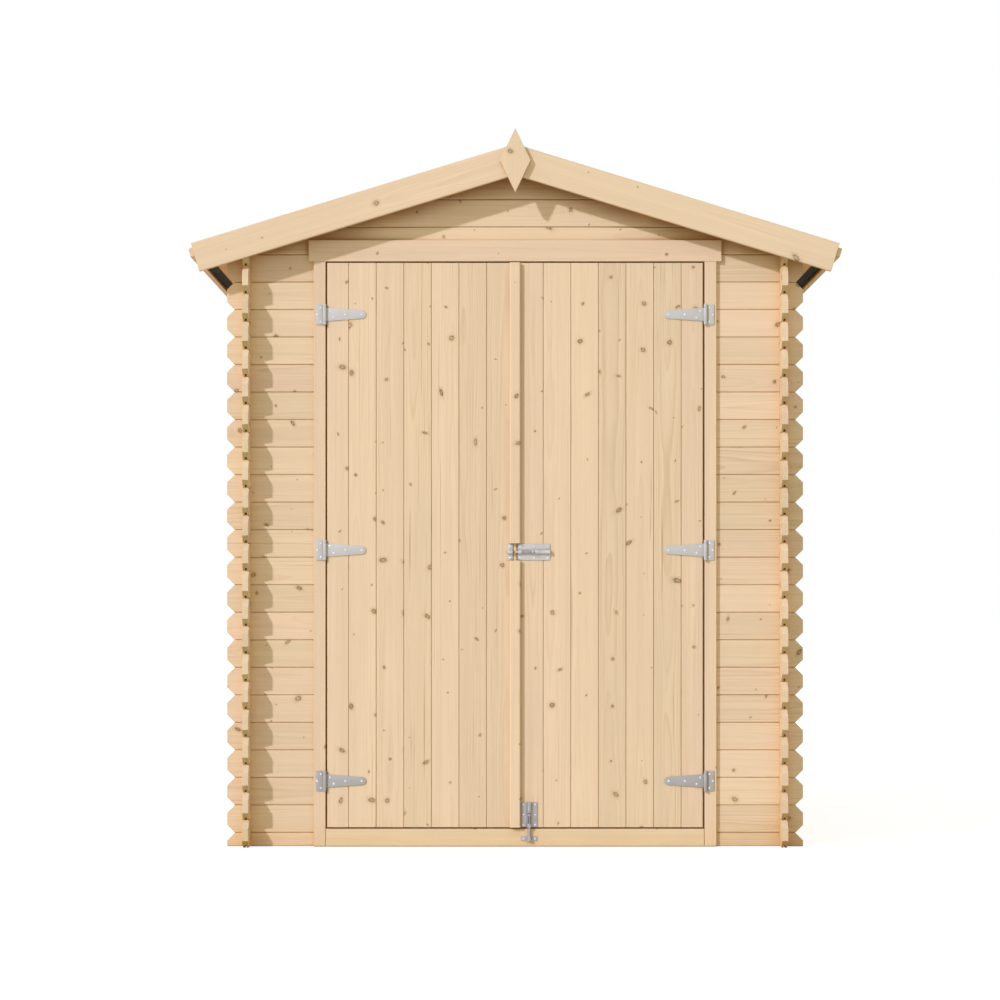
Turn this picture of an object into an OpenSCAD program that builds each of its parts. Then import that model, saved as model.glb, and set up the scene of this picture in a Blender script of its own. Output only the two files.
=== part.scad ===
// Wooden garden shed: interlocking board walls on a floor, felted gable roof
// and a pair of ledged doors on T-hinges, with two barrel bolts.
// Origin on the ground in the middle of the shed, +Z up, doors towards -Y.

/* [Walls] */
// Width over the outer faces of the side walls
body_w = 1710; // [1500:10:2600]
// Depth over the outer faces of the end walls
body_d = 1868; // [1200:10:3000]
// Thickness of the wall boards
board_t = 19; // [16:1:28]
// Height that one wall board covers
course = 87; // [80:1:110]
// Number of whole boards in a side wall
courses = 22; // [20:1:26]
// How far the end wall boards run past the side walls
end_tail = 55; // [40:1:90]
// How far the side wall boards run past the end walls
side_tail = 66; // [50:1:100]
// Size of the cut corners on the board ends
tail_cut = 24; // [10:1:30]

/* [Roof] */
// Slope of the roof in degrees
pitch = 17; // [12:1:25]
// Thickness of the roof boards
roof_t = 16; // [14:1:22]
// How far the roof boards run past the side walls, measured level
eave_out = 149; // [100:1:220]
// Thickness of the roofing felt
felt_t = 2; // [1:0.5:4]
// Width of felt that is turned under the eaves
felt_turn = 29; // [20:1:50]
// Width of each side of the felt strip over the ridge
ridge_felt_w = 120; // [80:5:200]
// Thickness of the eave strips
strip_t = 14; // [10:1:20]
// Height of the eave strips
strip_h = 29; // [20:1:45]
// Width of the bargeboards
barge_w = 92; // [70:1:120]
// Thickness of the bargeboards and finials
barge_t = 16; // [12:1:22]
// How far the bargeboards stand above the roof boards
barge_up = 11; // [6:1:20]
// Height of the finials
finial_h = 200; // [160:5:260]
// Width of the finials
finial_w = 96; // [70:1:120]
// How far the finials stand above the bargeboards
finial_up = 46; // [30:1:70]
// Width of the purlins
purlin_w = 45; // [35:1:60]
// Depth of the ridge purlin
ridge_purlin_h = 60; // [45:1:64]
// Depth of the side purlins
purlin_h = 48; // [40:1:52]
// Distance of the side purlins from the middle
purlin_x = 430; // [300:10:600]

/* [Doorway] */
// Clear width between the jambs
door_way = 1196; // [900:1:1300]
// How far the gable boards stand in the groove of the door head
head_groove = 23.5; // [10:0.5:30]
// Width of the jambs seen from the front
jamb_w = 37.5; // [35:0.5:60]
// Thickness of the casing on each side of the wall
case_t = 12; // [10:1:18]
// Height of the door head
head_h = 67; // [50:1:90]
// How far the door head runs past the jambs
head_over = 16; // [0:1:30]
// How far the door head stands in front of the jambs
head_proud = 1; // [0:1:4]
// Height of the sill
sill_h = 57; // [45:1:80]
// Width of the door stop on the jambs and head
stop_w = 10; // [6:1:15]

/* [Floor] */
// Thickness of the floor boards
floor_t = 16; // [14:1:22]
// Height of the bearers
bearer_h = 42; // [30:1:60]
// Width of the bearers
bearer_w = 58; // [40:1:80]
// Number of bearers
bearers = 5; // [3:1:7]
// Gap round the floor boards
floor_gap = 5; // [2:1:12]

/* [Doors] */
// Gap between a door leaf and what is beside it
leaf_gap = 5; // [5:0.5:8]
// Thickness of the door boards
leaf_t = 16; // [14:1:22]
// How far the leaves stand in front of the jambs
leaf_proud = 1; // [0.5:0.5:3]
// Width of the ledges and braces behind the leaves
ledge_w = 90; // [60:1:120]
// Thickness of the ledges and braces
ledge_t = 18; // [14:1:25]
// How far the ledges stop short of the leaf edges
ledge_in = 30; // [25:1:60]
// Width of the cover strip
cover_w = 34; // [28:1:34]
// Thickness of the cover strip
cover_t = 15; // [12:1:20]
// Height of the bottom hinges above the foot of the leaf
hinge_low = 146; // [100:1:250]
// Depth of the top hinges below the top of the leaf
hinge_high = 163; // [100:1:250]
// How far the middle hinges are below the middle of the other two
hinge_drop = 7.5; // [0:0.5:20]

/* [Hinges] */
// Width of the hinge plate from its edge to the pin
plate_w = 28; // [24:1:30]
// Height of the hinge plate
plate_h = 64; // [50:1:80]
// Thickness of the hinge and bolt plates
hinge_t = 3; // [1.5:0.5:4]
// Radius of the hinge knuckle
knuckle_r = 5.5; // [5:0.5:7]
// Radius of the hinge pin
pin_r = 3; // [2.5:0.5:4]
// Height of the strap at its knuckle
strap_h = 43; // [36:1:50]
// Height of the strap at its tip
strap_tip = 26; // [20:1:34]
// Length of the strap from the pin to its tip
strap_l = 130; // [100:1:180]
// Distance of the hinge pins outside the doorway
pin_over = 2; // [1:0.5:6]

/* [Bolts] */
// Height of the middle bolt
mid_z = 930; // [800:5:1100]
// Length of the middle bolt plate
mid_l = 102; // [90:1:130]
// Length of the bottom bolt plate
bottom_l = 78; // [70:1:100]
// Width of the bolt plates
bolt_w = 52; // [40:1:60]
// Distance of the middle bolt plate from the middle of the doorway
mid_bolt_x = 8.5; // [6:0.5:12]
// Gap between the cover strip and the bottom bolt plate
bottom_bolt_gap = 1.5; // [1:0.5:10]
// Radius of the bolt rods
rod_r = 4; // [3:0.5:5]
// Radius of the barrels that the rods slide in
barrel_r = 6.5; // [6:0.5:8]
// Width of the middle keep
mid_keep_w = 16; // [12:1:22]
// Distance of the middle keep from the meeting line of the leaves
mid_keep_gap = 7.5; // [5:0.5:12]
// Height of the bottom keep
bottom_keep_h = 15; // [12:1:22]
// Height of the bottom keep above the ground
bottom_keep_z = 18.5; // [14:0.5:22]
// How far the bolt rods pass through their keeps when shot
rod_past = 5; // [3:1:10]
// Gap between a drawn rod and what it slid out of
rod_clear = 4; // [3:0.5:8]

/* [Hidden] */
$fn = 48;

// Clearances: a running pin, a rod in its barrel, and faces that only just clear
pin_fit = 0.05;
rod_fit = 0.1;
face_fit = 0.3;

// Walls
side_out = body_w / 2;
side_in = side_out - board_t;
end_out = body_d / 2;
end_in = end_out - board_t;
end_half = side_out + end_tail;
side_half = end_out + side_tail;
wall_h = courses * course;
split_z = (courses - 0.5) * course;
head_z = split_z - head_groove;

// Roof: the plane under the boards passes over the outer top edge of a side wall
slope = tan(pitch);
ridge_z = wall_h + side_out * slope;
run = (side_out + eave_out) / cos(pitch);
barge_top = roof_t + barge_up;
barge_end = run + felt_t;
barge_z = ridge_z + barge_top / cos(pitch);
finial_z = barge_z + finial_up - finial_h / 2;
gable_boards = ceil(ridge_z / course + 0.5);

// Doorway and casing
way = door_way / 2;
groove_x = way + jamb_w / 2;
jamb_x = way + jamb_w;
casing_out = end_out + case_t;
casing_in = end_in - case_t;

// Door leaves
leaf_in = leaf_gap / 2;
leaf_out = way - leaf_gap;
leaf_z = sill_h + leaf_gap;
leaf_h = head_z - leaf_gap - leaf_z;
leaf_front = casing_out + leaf_proud;
leaf_back = leaf_front - leaf_t;
stop_out = leaf_back - leaf_gap;

// Hinges: the pin stands over the jamb, in front of it
pin_x = way + pin_over;
pin_y = leaf_front + knuckle_r + face_fit;
low_hinge = leaf_z + hinge_low;
high_hinge = leaf_z + leaf_h - hinge_high;
hinge_z = [low_hinge, (low_hinge + high_hinge) / 2 - hinge_drop, high_hinge];

// Bolts: both rods run at this distance in front of the middle of the house
rod_y = leaf_front + barrel_r;
keep_bore = rod_r + 1.3;
keep_t = 1.5;
keep_foot = bolt_w / 2;
mid_keep_x = mid_keep_w + mid_keep_gap;
mid_rod_tip = 1.5;
mid_stroke = mid_rod_tip + mid_keep_x + rod_past;
bottom_x = (cover_w + bolt_w) / 2 + bottom_bolt_gap;
bottom_z = leaf_z + 1;
bottom_rod_tip = bottom_keep_z + bottom_keep_h + rod_clear;
bottom_stroke = bottom_rod_tip - bottom_keep_z + rod_past;
knob_r = 2.5;
knob_h = 15;
knob_back = 54;
slot_w = 2 * knob_r + 1;

pine = [0.9, 0.79, 0.64];
steel = [0.78, 0.78, 0.8];
zinc = [0.72, 0.72, 0.76];
felt = [0.13, 0.12, 0.13];

// Turns a profile drawn in X and Z into a solid from y0 to y0 + depth
module along_y(y0, depth) {
    translate([0, y0 + depth, 0]) rotate([90, 0, 0]) linear_extrude(depth) children();
}

// Turns a profile drawn in Y and Z into a solid from x0 to x0 + width
module along_x(x0, width) {
    translate([x0, 0, 0]) rotate([90, 0, 90]) linear_extrude(width) children();
}

// A copy on the left of what is drawn on the right
module on_left() {
    mirror([1, 0, 0]) children();
}

// A point at a distance along the slope from the ridge and a height square to it
function on_slope(along, up) = [
    along * cos(pitch) + up * sin(pitch),
    ridge_z - along * sin(pitch) + up * cos(pitch)
];

// A point over the ridge at a height square to the slope
function on_ridge(up) = [0, ridge_z + up / cos(pitch)];

// Right half of the outline of stacked boards, whose ends have cut corners
function tail_points(half, joints) = [
    for (i = [0 : len(joints) - 2])
        let (low = joints[i], high = joints[i + 1])
            each [
                [half - (low > 0 ? tail_cut : 0), low],
                [half, low + (low > 0 ? tail_cut : 0)],
                [half, high - tail_cut],
                [half - tail_cut, high]
            ]
];

module board_stack(half, joints) {
    right = tail_points(half, joints);
    left = [for (i = [len(right) - 1 : -1 : 0]) [-right[i][0], right[i][1]]];
    polygon(concat(right, left));
}

// Heights of the joints between boards: end walls start with half a board
end_joints = [for (i = [0 : gable_boards]) i == 0 ? 0 : (i - 0.5) * course];
side_joints = [for (i = [0 : courses]) i * course];

// Notches where the boards of the other walls cross, one for each of their boards
module end_notches() {
    for (i = [0 : courses - 1])
        for (side = [-1, 1])
            translate([side * (side_out - board_t / 2), (i + 0.5) * course])
                square([board_t, course / 2], center = true);
}

module side_notches() {
    for (i = [0 : courses])
        for (side = [-1, 1])
            translate([side * (end_out - board_t / 2), i * course])
                square([board_t, course / 2], center = true);
}

// Everything under the roof boards, as a profile in X and Z
module under_roof(half) {
    polygon([[-half, 0], [half, 0], [half, ridge_z - half * slope], [0, ridge_z],
             [-half, ridge_z - half * slope]]);
}

// The ridge purlin stands upright, with its top cut to both slopes or run up past them
module ridge_purlin_profile(past = 0) {
    half = purlin_w / 2;
    shoulder = ridge_z - half * slope + past;
    polygon([[-half, ridge_z - ridge_purlin_h], [half, ridge_z - ridge_purlin_h],
             [half, shoulder], [0, ridge_z + past], [-half, shoulder]]);
}

// The side purlins stand square to the slope
module side_purlin_profile(past = 0) {
    inner = purlin_x / cos(pitch) - purlin_w / 2;
    outer = inner + purlin_w;
    polygon([on_slope(inner, -purlin_h), on_slope(outer, -purlin_h),
             on_slope(outer, past), on_slope(inner, past)]);
}

// Openings in the gables for the purlins, run up through the roof boards
module purlin_notches() {
    ridge_purlin_profile(roof_t);
    for (side = [-1, 1]) scale([side, 1]) side_purlin_profile(roof_t);
}

// An end wall up to the underside of the roof, as a profile in X and Z
module end_wall_profile() {
    difference() {
        intersection() {
            board_stack(end_half, end_joints);
            under_roof(end_half + 1);
        }
        end_notches();
        purlin_notches();
    }
}

module below_split() {
    translate([-end_half - 1, -1]) square([2 * end_half + 2, split_z + 1]);
}

module end_wall_low() {
    intersection() {
        end_wall_profile();
        below_split();
    }
}

module end_wall_gable() {
    difference() {
        end_wall_profile();
        below_split();
    }
}

module front_wall_side() {
    color(pine) along_y(-end_out, board_t) intersection() {
        end_wall_low();
        translate([groove_x, 0]) square([end_half, wall_h]);
    }
}

module front_wall_right() {
    front_wall_side();
}

module front_wall_left() {
    on_left() front_wall_side();
}

module front_gable() {
    color(pine) along_y(-end_out, board_t) end_wall_gable();
}

module back_wall() {
    color(pine) along_y(end_in, board_t) end_wall_low();
}

module back_gable() {
    color(pine) along_y(end_in, board_t) end_wall_gable();
}

// A side wall: its top is cut to the slope between the end walls
module right_wall() {
    color(pine) intersection() {
        along_x(side_in, board_t) difference() {
            union() {
                board_stack(side_half, side_joints);
                translate([-end_in, 0]) square([2 * end_in, wall_h + board_t]);
            }
            side_notches();
        }
        along_y(-side_half - 1, 2 * side_half + 2) under_roof(side_out + 1);
    }
}

module left_wall() {
    on_left() right_wall();
}

module ridge_purlin() {
    color(pine) along_y(-side_half, 2 * side_half) ridge_purlin_profile();
}

module right_purlin() {
    color(pine) along_y(-side_half, 2 * side_half) side_purlin_profile();
}

module left_purlin() {
    on_left() right_purlin();
}

// A slab on the right slope, from the ridge to an end cut square
module slope_slab(low, high, end) {
    polygon([on_ridge(low), on_slope(end, low), on_slope(end, high), on_ridge(high)]);
}

module roof_boards_right() {
    color(pine) along_y(-side_half, 2 * side_half) slope_slab(0, roof_t, run);
}

module roof_boards_left() {
    on_left() roof_boards_right();
}

// Felt on the boards, down over their ends and turned under them
module roof_felt_right() {
    color(felt) along_y(-side_half, 2 * side_half) polygon([
        on_ridge(roof_t), on_slope(run, roof_t), on_slope(run, 0),
        on_slope(run - felt_turn, 0), on_slope(run - felt_turn, -felt_t),
        on_slope(run + felt_t, -felt_t), on_slope(run + felt_t, roof_t + felt_t),
        on_ridge(roof_t + felt_t)
    ]);
}

module roof_felt_left() {
    on_left() roof_felt_right();
}

module ridge_felt() {
    low = roof_t + felt_t;
    high = low + felt_t;
    low_edge = on_slope(ridge_felt_w, low);
    high_edge = on_slope(ridge_felt_w, high);
    color(felt) along_y(-side_half, 2 * side_half) polygon([
        on_ridge(low), low_edge, high_edge,
        on_ridge(high), [-high_edge[0], high_edge[1]], [-low_edge[0], low_edge[1]]
    ]);
}

module eave_strip_right() {
    near = run + felt_t + face_fit;
    far = near + strip_t;
    color(pine) along_y(-side_half, 2 * side_half) polygon([
        on_slope(near, roof_t - strip_h), on_slope(far, roof_t - strip_h),
        on_slope(far, roof_t), on_slope(near, roof_t)
    ]);
}

module eave_strip_left() {
    on_left() eave_strip_right();
}

module bargeboard_right(y0) {
    color(pine) along_y(y0, barge_t) slope_slab(barge_top - barge_w, barge_top, barge_end);
}

module front_bargeboard_right() {
    bargeboard_right(-side_half - barge_t);
}

module front_bargeboard_left() {
    on_left() bargeboard_right(-side_half - barge_t);
}

module back_bargeboard_right() {
    bargeboard_right(side_half);
}

module back_bargeboard_left() {
    on_left() bargeboard_right(side_half);
}

module finial(y0) {
    color(pine) along_y(y0, barge_t) translate([0, finial_z]) polygon([
        [0, -finial_h / 2], [finial_w / 2, 0], [0, finial_h / 2], [-finial_w / 2, 0]
    ]);
}

module front_finial() {
    finial(-side_half - 2 * barge_t);
}

module back_finial() {
    finial(side_half + barge_t);
}

// A jamb: casing on both faces of the wall, a groove for the wall boards and a door stop
module jamb_right() {
    color(pine) linear_extrude(head_z) polygon([
        [way, -casing_out], [jamb_x, -casing_out], [jamb_x, -end_out], [groove_x, -end_out],
        [groove_x, -end_in], [jamb_x, -end_in], [jamb_x, -casing_in],
        [way - stop_w, -casing_in], [way - stop_w, -stop_out], [way, -stop_out]
    ]);
}

module jamb_left() {
    on_left() jamb_right();
}

// The head sits on the jambs, and the gable boards stand in its groove
module door_head() {
    half = jamb_x + head_over;
    front = casing_out + head_proud;
    color(pine) {
        translate([-half, -front, head_z]) cube([2 * half, front - end_out, head_h]);
        translate([-half, -end_in, head_z]) cube([2 * half, case_t, head_h]);
        translate([-groove_x, -end_out, head_z])
            cube([2 * groove_x, board_t, split_z - head_z]);
        translate([stop_w - way, -stop_out, head_z - stop_w])
            cube([2 * (way - stop_w), stop_out - casing_in, stop_w]);
    }
}

// The sill fills the doorway between the jambs and between their stops
module door_sill() {
    half = way - stop_w;
    color(pine) linear_extrude(sill_h) polygon([
        [-way, -casing_out], [way, -casing_out], [way, -stop_out], [half, -stop_out],
        [half, -end_in], [-half, -end_in], [-half, -stop_out], [-way, -stop_out]
    ]);
}

// Floor boards, cut out round the inner casing of the jambs
module floor_boards() {
    half_x = side_in - floor_gap;
    half_y = end_in - floor_gap;
    color(pine) translate([0, 0, bearer_h]) difference() {
        translate([-half_x, -half_y, 0]) cube([2 * half_x, 2 * half_y, floor_t]);
        for (side = [-1, 1])
            translate([side * (way + jamb_w / 2 - stop_w / 2), -half_y, 0])
                cube([jamb_w + stop_w + 2 * floor_gap,
                      2 * (half_y - casing_in + floor_gap), 3 * floor_t], center = true);
    }
}

module floor_bearers() {
    length = 2 * (side_in - face_fit);
    first = -end_in + case_t + floor_gap + bearer_w / 2;
    pitch_y = -2 * first / (bearers - 1);
    color(pine) for (i = [0 : bearers - 1])
        translate([-length / 2, first + i * pitch_y - bearer_w / 2, 0])
            cube([length, bearer_w, bearer_h]);
}

// Hinge plates with their pins, one for each hinge of the right leaf
module hinge_plates_right() {
    tab = (plate_h - strap_h) / 2 - face_fit;
    near = knuckle_r + face_fit;
    color(steel) for (z = hinge_z) translate([pin_x, -pin_y, z]) {
        back = pin_y - casing_out;
        translate([near, back - hinge_t, -plate_h / 2])
            cube([plate_w - near, hinge_t, plate_h]);
        cylinder(r = pin_r, h = plate_h, center = true);
        for (end = [-1, 1]) translate([0, 0, end * (plate_h - tab) / 2]) {
            cylinder(r = knuckle_r, h = tab, center = true);
            translate([0, back - hinge_t, -tab / 2]) cube([near, hinge_t, tab]);
        }
    }
}

module hinge_plates_left() {
    on_left() hinge_plates_right();
}

// Tapered straps with round tips, and the knuckles that turn on the pins
module hinge_straps(side) {
    tip = strap_tip / 2;
    neck = tip - face_fit;
    tip_x = side * (tip - strap_l);
    color(steel) for (z = hinge_z) translate([side * pin_x, -pin_y, z]) {
        difference() {
            union() {
                cylinder(r = knuckle_r, h = strap_h, center = true);
                along_y(pin_y - leaf_front - hinge_t, hinge_t) {
                    polygon([[0, -strap_h / 2], [0, strap_h / 2],
                             [tip_x, neck], [tip_x, -neck]]);
                    translate([tip_x, 0]) circle(r = tip);
                }
            }
            cylinder(r = pin_r + pin_fit, h = 2 * plate_h, center = true);
        }
    }
}

module hinge_straps_right() {
    hinge_straps(1);
}

module hinge_straps_left() {
    hinge_straps(-1);
}

// Door boards of the right leaf
module right_door_boards() {
    color(pine) translate([leaf_in, -leaf_front, leaf_z])
        cube([leaf_out - leaf_in, leaf_t, leaf_h]);
}

module left_door_boards() {
    on_left() right_door_boards();
}

// Ledges behind the boards, one at each hinge
module right_door_ledges() {
    color(pine) for (z = hinge_z)
        translate([leaf_in + ledge_in, -leaf_back, z - ledge_w / 2])
            cube([leaf_out - leaf_in - 2 * ledge_in, ledge_t, ledge_w]);
}

module left_door_ledges() {
    on_left() right_door_ledges();
}

// Braces that rise from the hinge side of one ledge to the free side of the next
module right_door_braces() {
    low_x = leaf_out - ledge_in;
    high_x = leaf_in + ledge_in;
    color(pine) along_y(-leaf_back, ledge_t) for (i = [0, 1]) {
        z0 = hinge_z[i] + ledge_w / 2;
        z1 = hinge_z[i + 1] - ledge_w / 2;
        polygon([[low_x - ledge_w, z0], [low_x, z0], [high_x + ledge_w, z1], [high_x, z1]]);
    }
}

module left_door_braces() {
    on_left() right_door_braces();
}

// The strip on the left leaf laps over the right leaf, clear of its face
module cover_profile() {
    polygon([[-cover_w / 2, 0], [-leaf_in, 0], [-leaf_in, -leaf_gap],
             [cover_w / 2, -leaf_gap], [cover_w / 2, -cover_t + 3],
             [cover_w / 2 - 3, -cover_t], [3 - cover_w / 2, -cover_t],
             [-cover_w / 2, 3 - cover_t]]);
}

module cover_strip() {
    gap = bolt_w / 2 + 1;
    color(pine) translate([0, -leaf_front, 0]) {
        translate([0, 0, leaf_z]) linear_extrude(mid_z - gap - leaf_z) cover_profile();
        translate([0, 0, mid_z + gap])
            linear_extrude(leaf_z + leaf_h - mid_z - gap) cover_profile();
    }
}

// A keep: a strap over the rod, with a foot on each side, drawn with the face at y = 0
module keep_profile() {
    rise = barrel_r + keep_bore;
    outer = keep_bore + keep_t;
    difference() {
        union() {
            translate([-keep_foot, 0]) square([2 * keep_foot, keep_t]);
            translate([-outer, 0]) square([2 * outer, rise + keep_t]);
        }
        translate([-keep_bore, -1]) square([2 * keep_bore, rise + 1]);
    }
}

// The middle keep on the left leaf
module mid_bolt_keep() {
    color(zinc) translate([-mid_keep_x, -leaf_front, mid_z])
        rotate([90, 90, 90]) linear_extrude(mid_keep_w) scale([1, -1]) keep_profile();
}

// The bottom keep on the sill
module bottom_bolt_keep() {
    rise = leaf_proud;
    color(zinc) translate([bottom_x, -casing_out, bottom_keep_z])
        linear_extrude(bottom_keep_h) scale([1, -1]) difference() {
            union() {
                keep_profile();
                translate([-keep_bore - keep_t, 0])
                    square([2 * (keep_bore + keep_t), barrel_r + keep_bore + keep_t + rise]);
            }
            translate([-keep_bore, -1]) square([2 * keep_bore, barrel_r + keep_bore + rise + 1]);
        }
}

// A bolt plate with its barrel along +Z from z = 0, slotted for the knob
module bolt_plate(length, slot_from, slot_to) {
    difference() {
        union() {
            translate([-bolt_w / 2, barrel_r - hinge_t, 0]) cube([bolt_w, hinge_t, length]);
            cylinder(r = barrel_r, h = length);
        }
        translate([0, 0, -1]) cylinder(r = rod_r + rod_fit, h = length + 2);
        translate([-slot_w / 2, -2 * barrel_r, slot_from])
            cube([slot_w, 2 * barrel_r, slot_to - slot_from]);
    }
}

// A bolt rod with its knob, along +Z from z = 0
module bolt_rod(length, knob) {
    cylinder(r = rod_r, h = length);
    translate([0, 0, knob]) rotate([90, 0, 0]) cylinder(r = knob_r, h = knob_h);
}

// Places what is drawn along +Z on the middle bolt, pointing to the right
module on_mid_bolt(x) {
    translate([x, -rod_y, mid_z]) rotate([0, 90, 0]) children();
}

module mid_bolt_plate() {
    knob = mid_rod_tip + knob_back - mid_bolt_x;
    color(zinc) on_mid_bolt(mid_bolt_x)
        bolt_plate(mid_l, knob - mid_stroke - slot_w / 2, knob + slot_w);
}

module mid_bolt_rod() {
    color(zinc) on_mid_bolt(mid_rod_tip) bolt_rod(mid_l + 6, knob_back);
}

module bottom_bolt_plate() {
    knob = bottom_rod_tip + knob_back + 10 - bottom_z;
    color(zinc) translate([bottom_x, -rod_y, bottom_z])
        bolt_plate(bottom_l, knob - bottom_stroke - slot_w / 2, knob + slot_w);
}

module bottom_bolt_rod() {
    color(zinc) translate([bottom_x, -rod_y, bottom_rod_tip])
        bolt_rod(bottom_l + 25, knob_back + 10);
}

front_wall_left();
front_wall_right();
front_gable();
back_wall();
back_gable();
left_wall();
right_wall();
ridge_purlin();
left_purlin();
right_purlin();
roof_boards_left();
roof_boards_right();
roof_felt_left();
roof_felt_right();
ridge_felt();
eave_strip_left();
eave_strip_right();
front_bargeboard_left();
front_bargeboard_right();
back_bargeboard_left();
back_bargeboard_right();
front_finial();
back_finial();
jamb_left();
jamb_right();
door_head();
door_sill();
floor_boards();
floor_bearers();
hinge_plates_left();
hinge_plates_right();
bottom_bolt_keep();
left_door_boards();
left_door_ledges();
left_door_braces();
cover_strip();
hinge_straps_left();
mid_bolt_keep();
right_door_boards();
right_door_ledges();
right_door_braces();
hinge_straps_right();
mid_bolt_plate();
bottom_bolt_plate();
mid_bolt_rod();
bottom_bolt_rod();
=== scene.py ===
# Wooden garden shed with log-cut corners, a felted gable roof and a pair of ledged doors.
# Boards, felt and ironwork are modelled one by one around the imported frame.
import math
import random
from contextlib import contextmanager

import bmesh
import bpy
import numpy as np
from mathutils import Matrix, Vector


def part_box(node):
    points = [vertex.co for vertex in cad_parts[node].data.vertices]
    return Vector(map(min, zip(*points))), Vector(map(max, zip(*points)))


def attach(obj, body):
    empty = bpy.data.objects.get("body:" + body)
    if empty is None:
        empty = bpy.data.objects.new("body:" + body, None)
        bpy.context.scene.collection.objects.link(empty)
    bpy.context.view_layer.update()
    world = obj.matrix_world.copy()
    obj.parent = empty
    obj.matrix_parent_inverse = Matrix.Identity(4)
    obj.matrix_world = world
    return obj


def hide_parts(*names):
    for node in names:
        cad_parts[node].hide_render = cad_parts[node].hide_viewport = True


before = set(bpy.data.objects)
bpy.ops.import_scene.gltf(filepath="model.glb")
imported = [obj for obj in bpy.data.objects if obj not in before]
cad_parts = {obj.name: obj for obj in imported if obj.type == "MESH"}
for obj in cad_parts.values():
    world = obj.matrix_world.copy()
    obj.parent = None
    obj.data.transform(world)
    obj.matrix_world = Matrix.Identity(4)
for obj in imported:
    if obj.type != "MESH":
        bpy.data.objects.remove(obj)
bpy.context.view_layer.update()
chance = random.Random(2207)
sides = ((1, "right"), (-1, "left"))
rightWay, backWay, upWay = (1, 0, 0), (0, 1, 0), (0, 0, 1)
frontWay = (0, -1, 0)
print("frame loaded")


# working in object and edit mode

def toObjectMode():
    if bpy.context.object and bpy.context.object.mode != "OBJECT":
        bpy.ops.object.mode_set(mode="OBJECT")
    bpy.ops.object.select_all(action="DESELECT")


def pickOnly(*pieces):
    toObjectMode()
    for piece in pieces:
        piece.select_set(True)
    bpy.context.view_layer.objects.active = pieces[0]


@contextmanager
def editing(piece, kind="FACE", wanted=None):
    # edit mode, with everything selected or only the parts that are wanted
    pickOnly(piece)
    bpy.ops.object.mode_set(mode="EDIT")
    bpy.ops.mesh.select_mode(type=kind)
    bpy.ops.mesh.select_all(action="DESELECT" if wanted else "SELECT")
    if wanted:
        mesh = bmesh.from_edit_mesh(piece.data)
        for part in {"VERT": mesh.verts, "EDGE": mesh.edges, "FACE": mesh.faces}[kind]:
            if wanted(part):
                part.select_set(True)
        if kind == "VERT":
            mesh.select_flush_mode()
        bmesh.update_edit_mesh(piece.data)
    yield
    bpy.ops.object.mode_set(mode="OBJECT")


def settle(piece, name):
    piece.name = piece.data.name = name
    pickOnly(piece)
    bpy.ops.object.transform_apply(location=True, rotation=True, scale=True)
    return piece


def turnOutward(piece):
    with editing(piece):
        bpy.ops.mesh.normals_make_consistent(inside=False)


def addBlock(name, low, high):
    toObjectMode()
    bpy.ops.mesh.primitive_cube_add(size=1, location=(Vector(low) + Vector(high)) / 2)
    block = bpy.context.object
    block.scale = Vector(high) - Vector(low)
    return settle(block, name)


def addRod(name, radius, low, high, axis="Z", vertices=32):
    toObjectMode()
    turn = {"Z": (0, 0, 0), "Y": (math.pi / 2, 0, 0)}[axis]
    middle = (Vector(low) + Vector(high)) / 2
    depth = (Vector(high) - Vector(low)).length
    bpy.ops.mesh.primitive_cylinder_add(vertices=vertices, radius=radius, depth=depth,
                                        location=middle, rotation=turn)
    return settle(bpy.context.object, name)


def score(piece, point, normal, **settings):
    with editing(piece):
        bpy.ops.mesh.bisect(plane_co=point, plane_no=normal, **settings)


def sawOff(piece, point, normal):
    score(piece, point, normal, use_fill=True, clear_outer=True)


def pullOut(piece, step, wanted=None):
    with editing(piece, "FACE", wanted):
        bpy.ops.mesh.extrude_region_move(TRANSFORM_OT_translate={"value": step})


def applyModifier(piece, kind, **settings):
    pickOnly(piece)
    step = piece.modifiers.new("step", kind)
    for key, value in settings.items():
        setattr(step, key, value)
    bpy.ops.object.modifier_apply(modifier=step.name)


def carve(piece, tool, operation="DIFFERENCE"):
    applyModifier(piece, "BOOLEAN", operation=operation, object=tool, solver="EXACT")
    bpy.data.objects.remove(tool)


def cutAway(piece, low, high):
    carve(piece, addBlock("waste", low, high))


def softenEdges(piece, width, segments=2, angle=35):
    applyModifier(piece, "BEVEL", width=width, segments=segments, limit_method="ANGLE",
                  angle_limit=math.radians(angle), use_clamp_overlap=True)


def smoothShade(piece, angle=40):
    pickOnly(piece)
    bpy.ops.object.shade_smooth_by_angle(angle=math.radians(angle))


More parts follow.
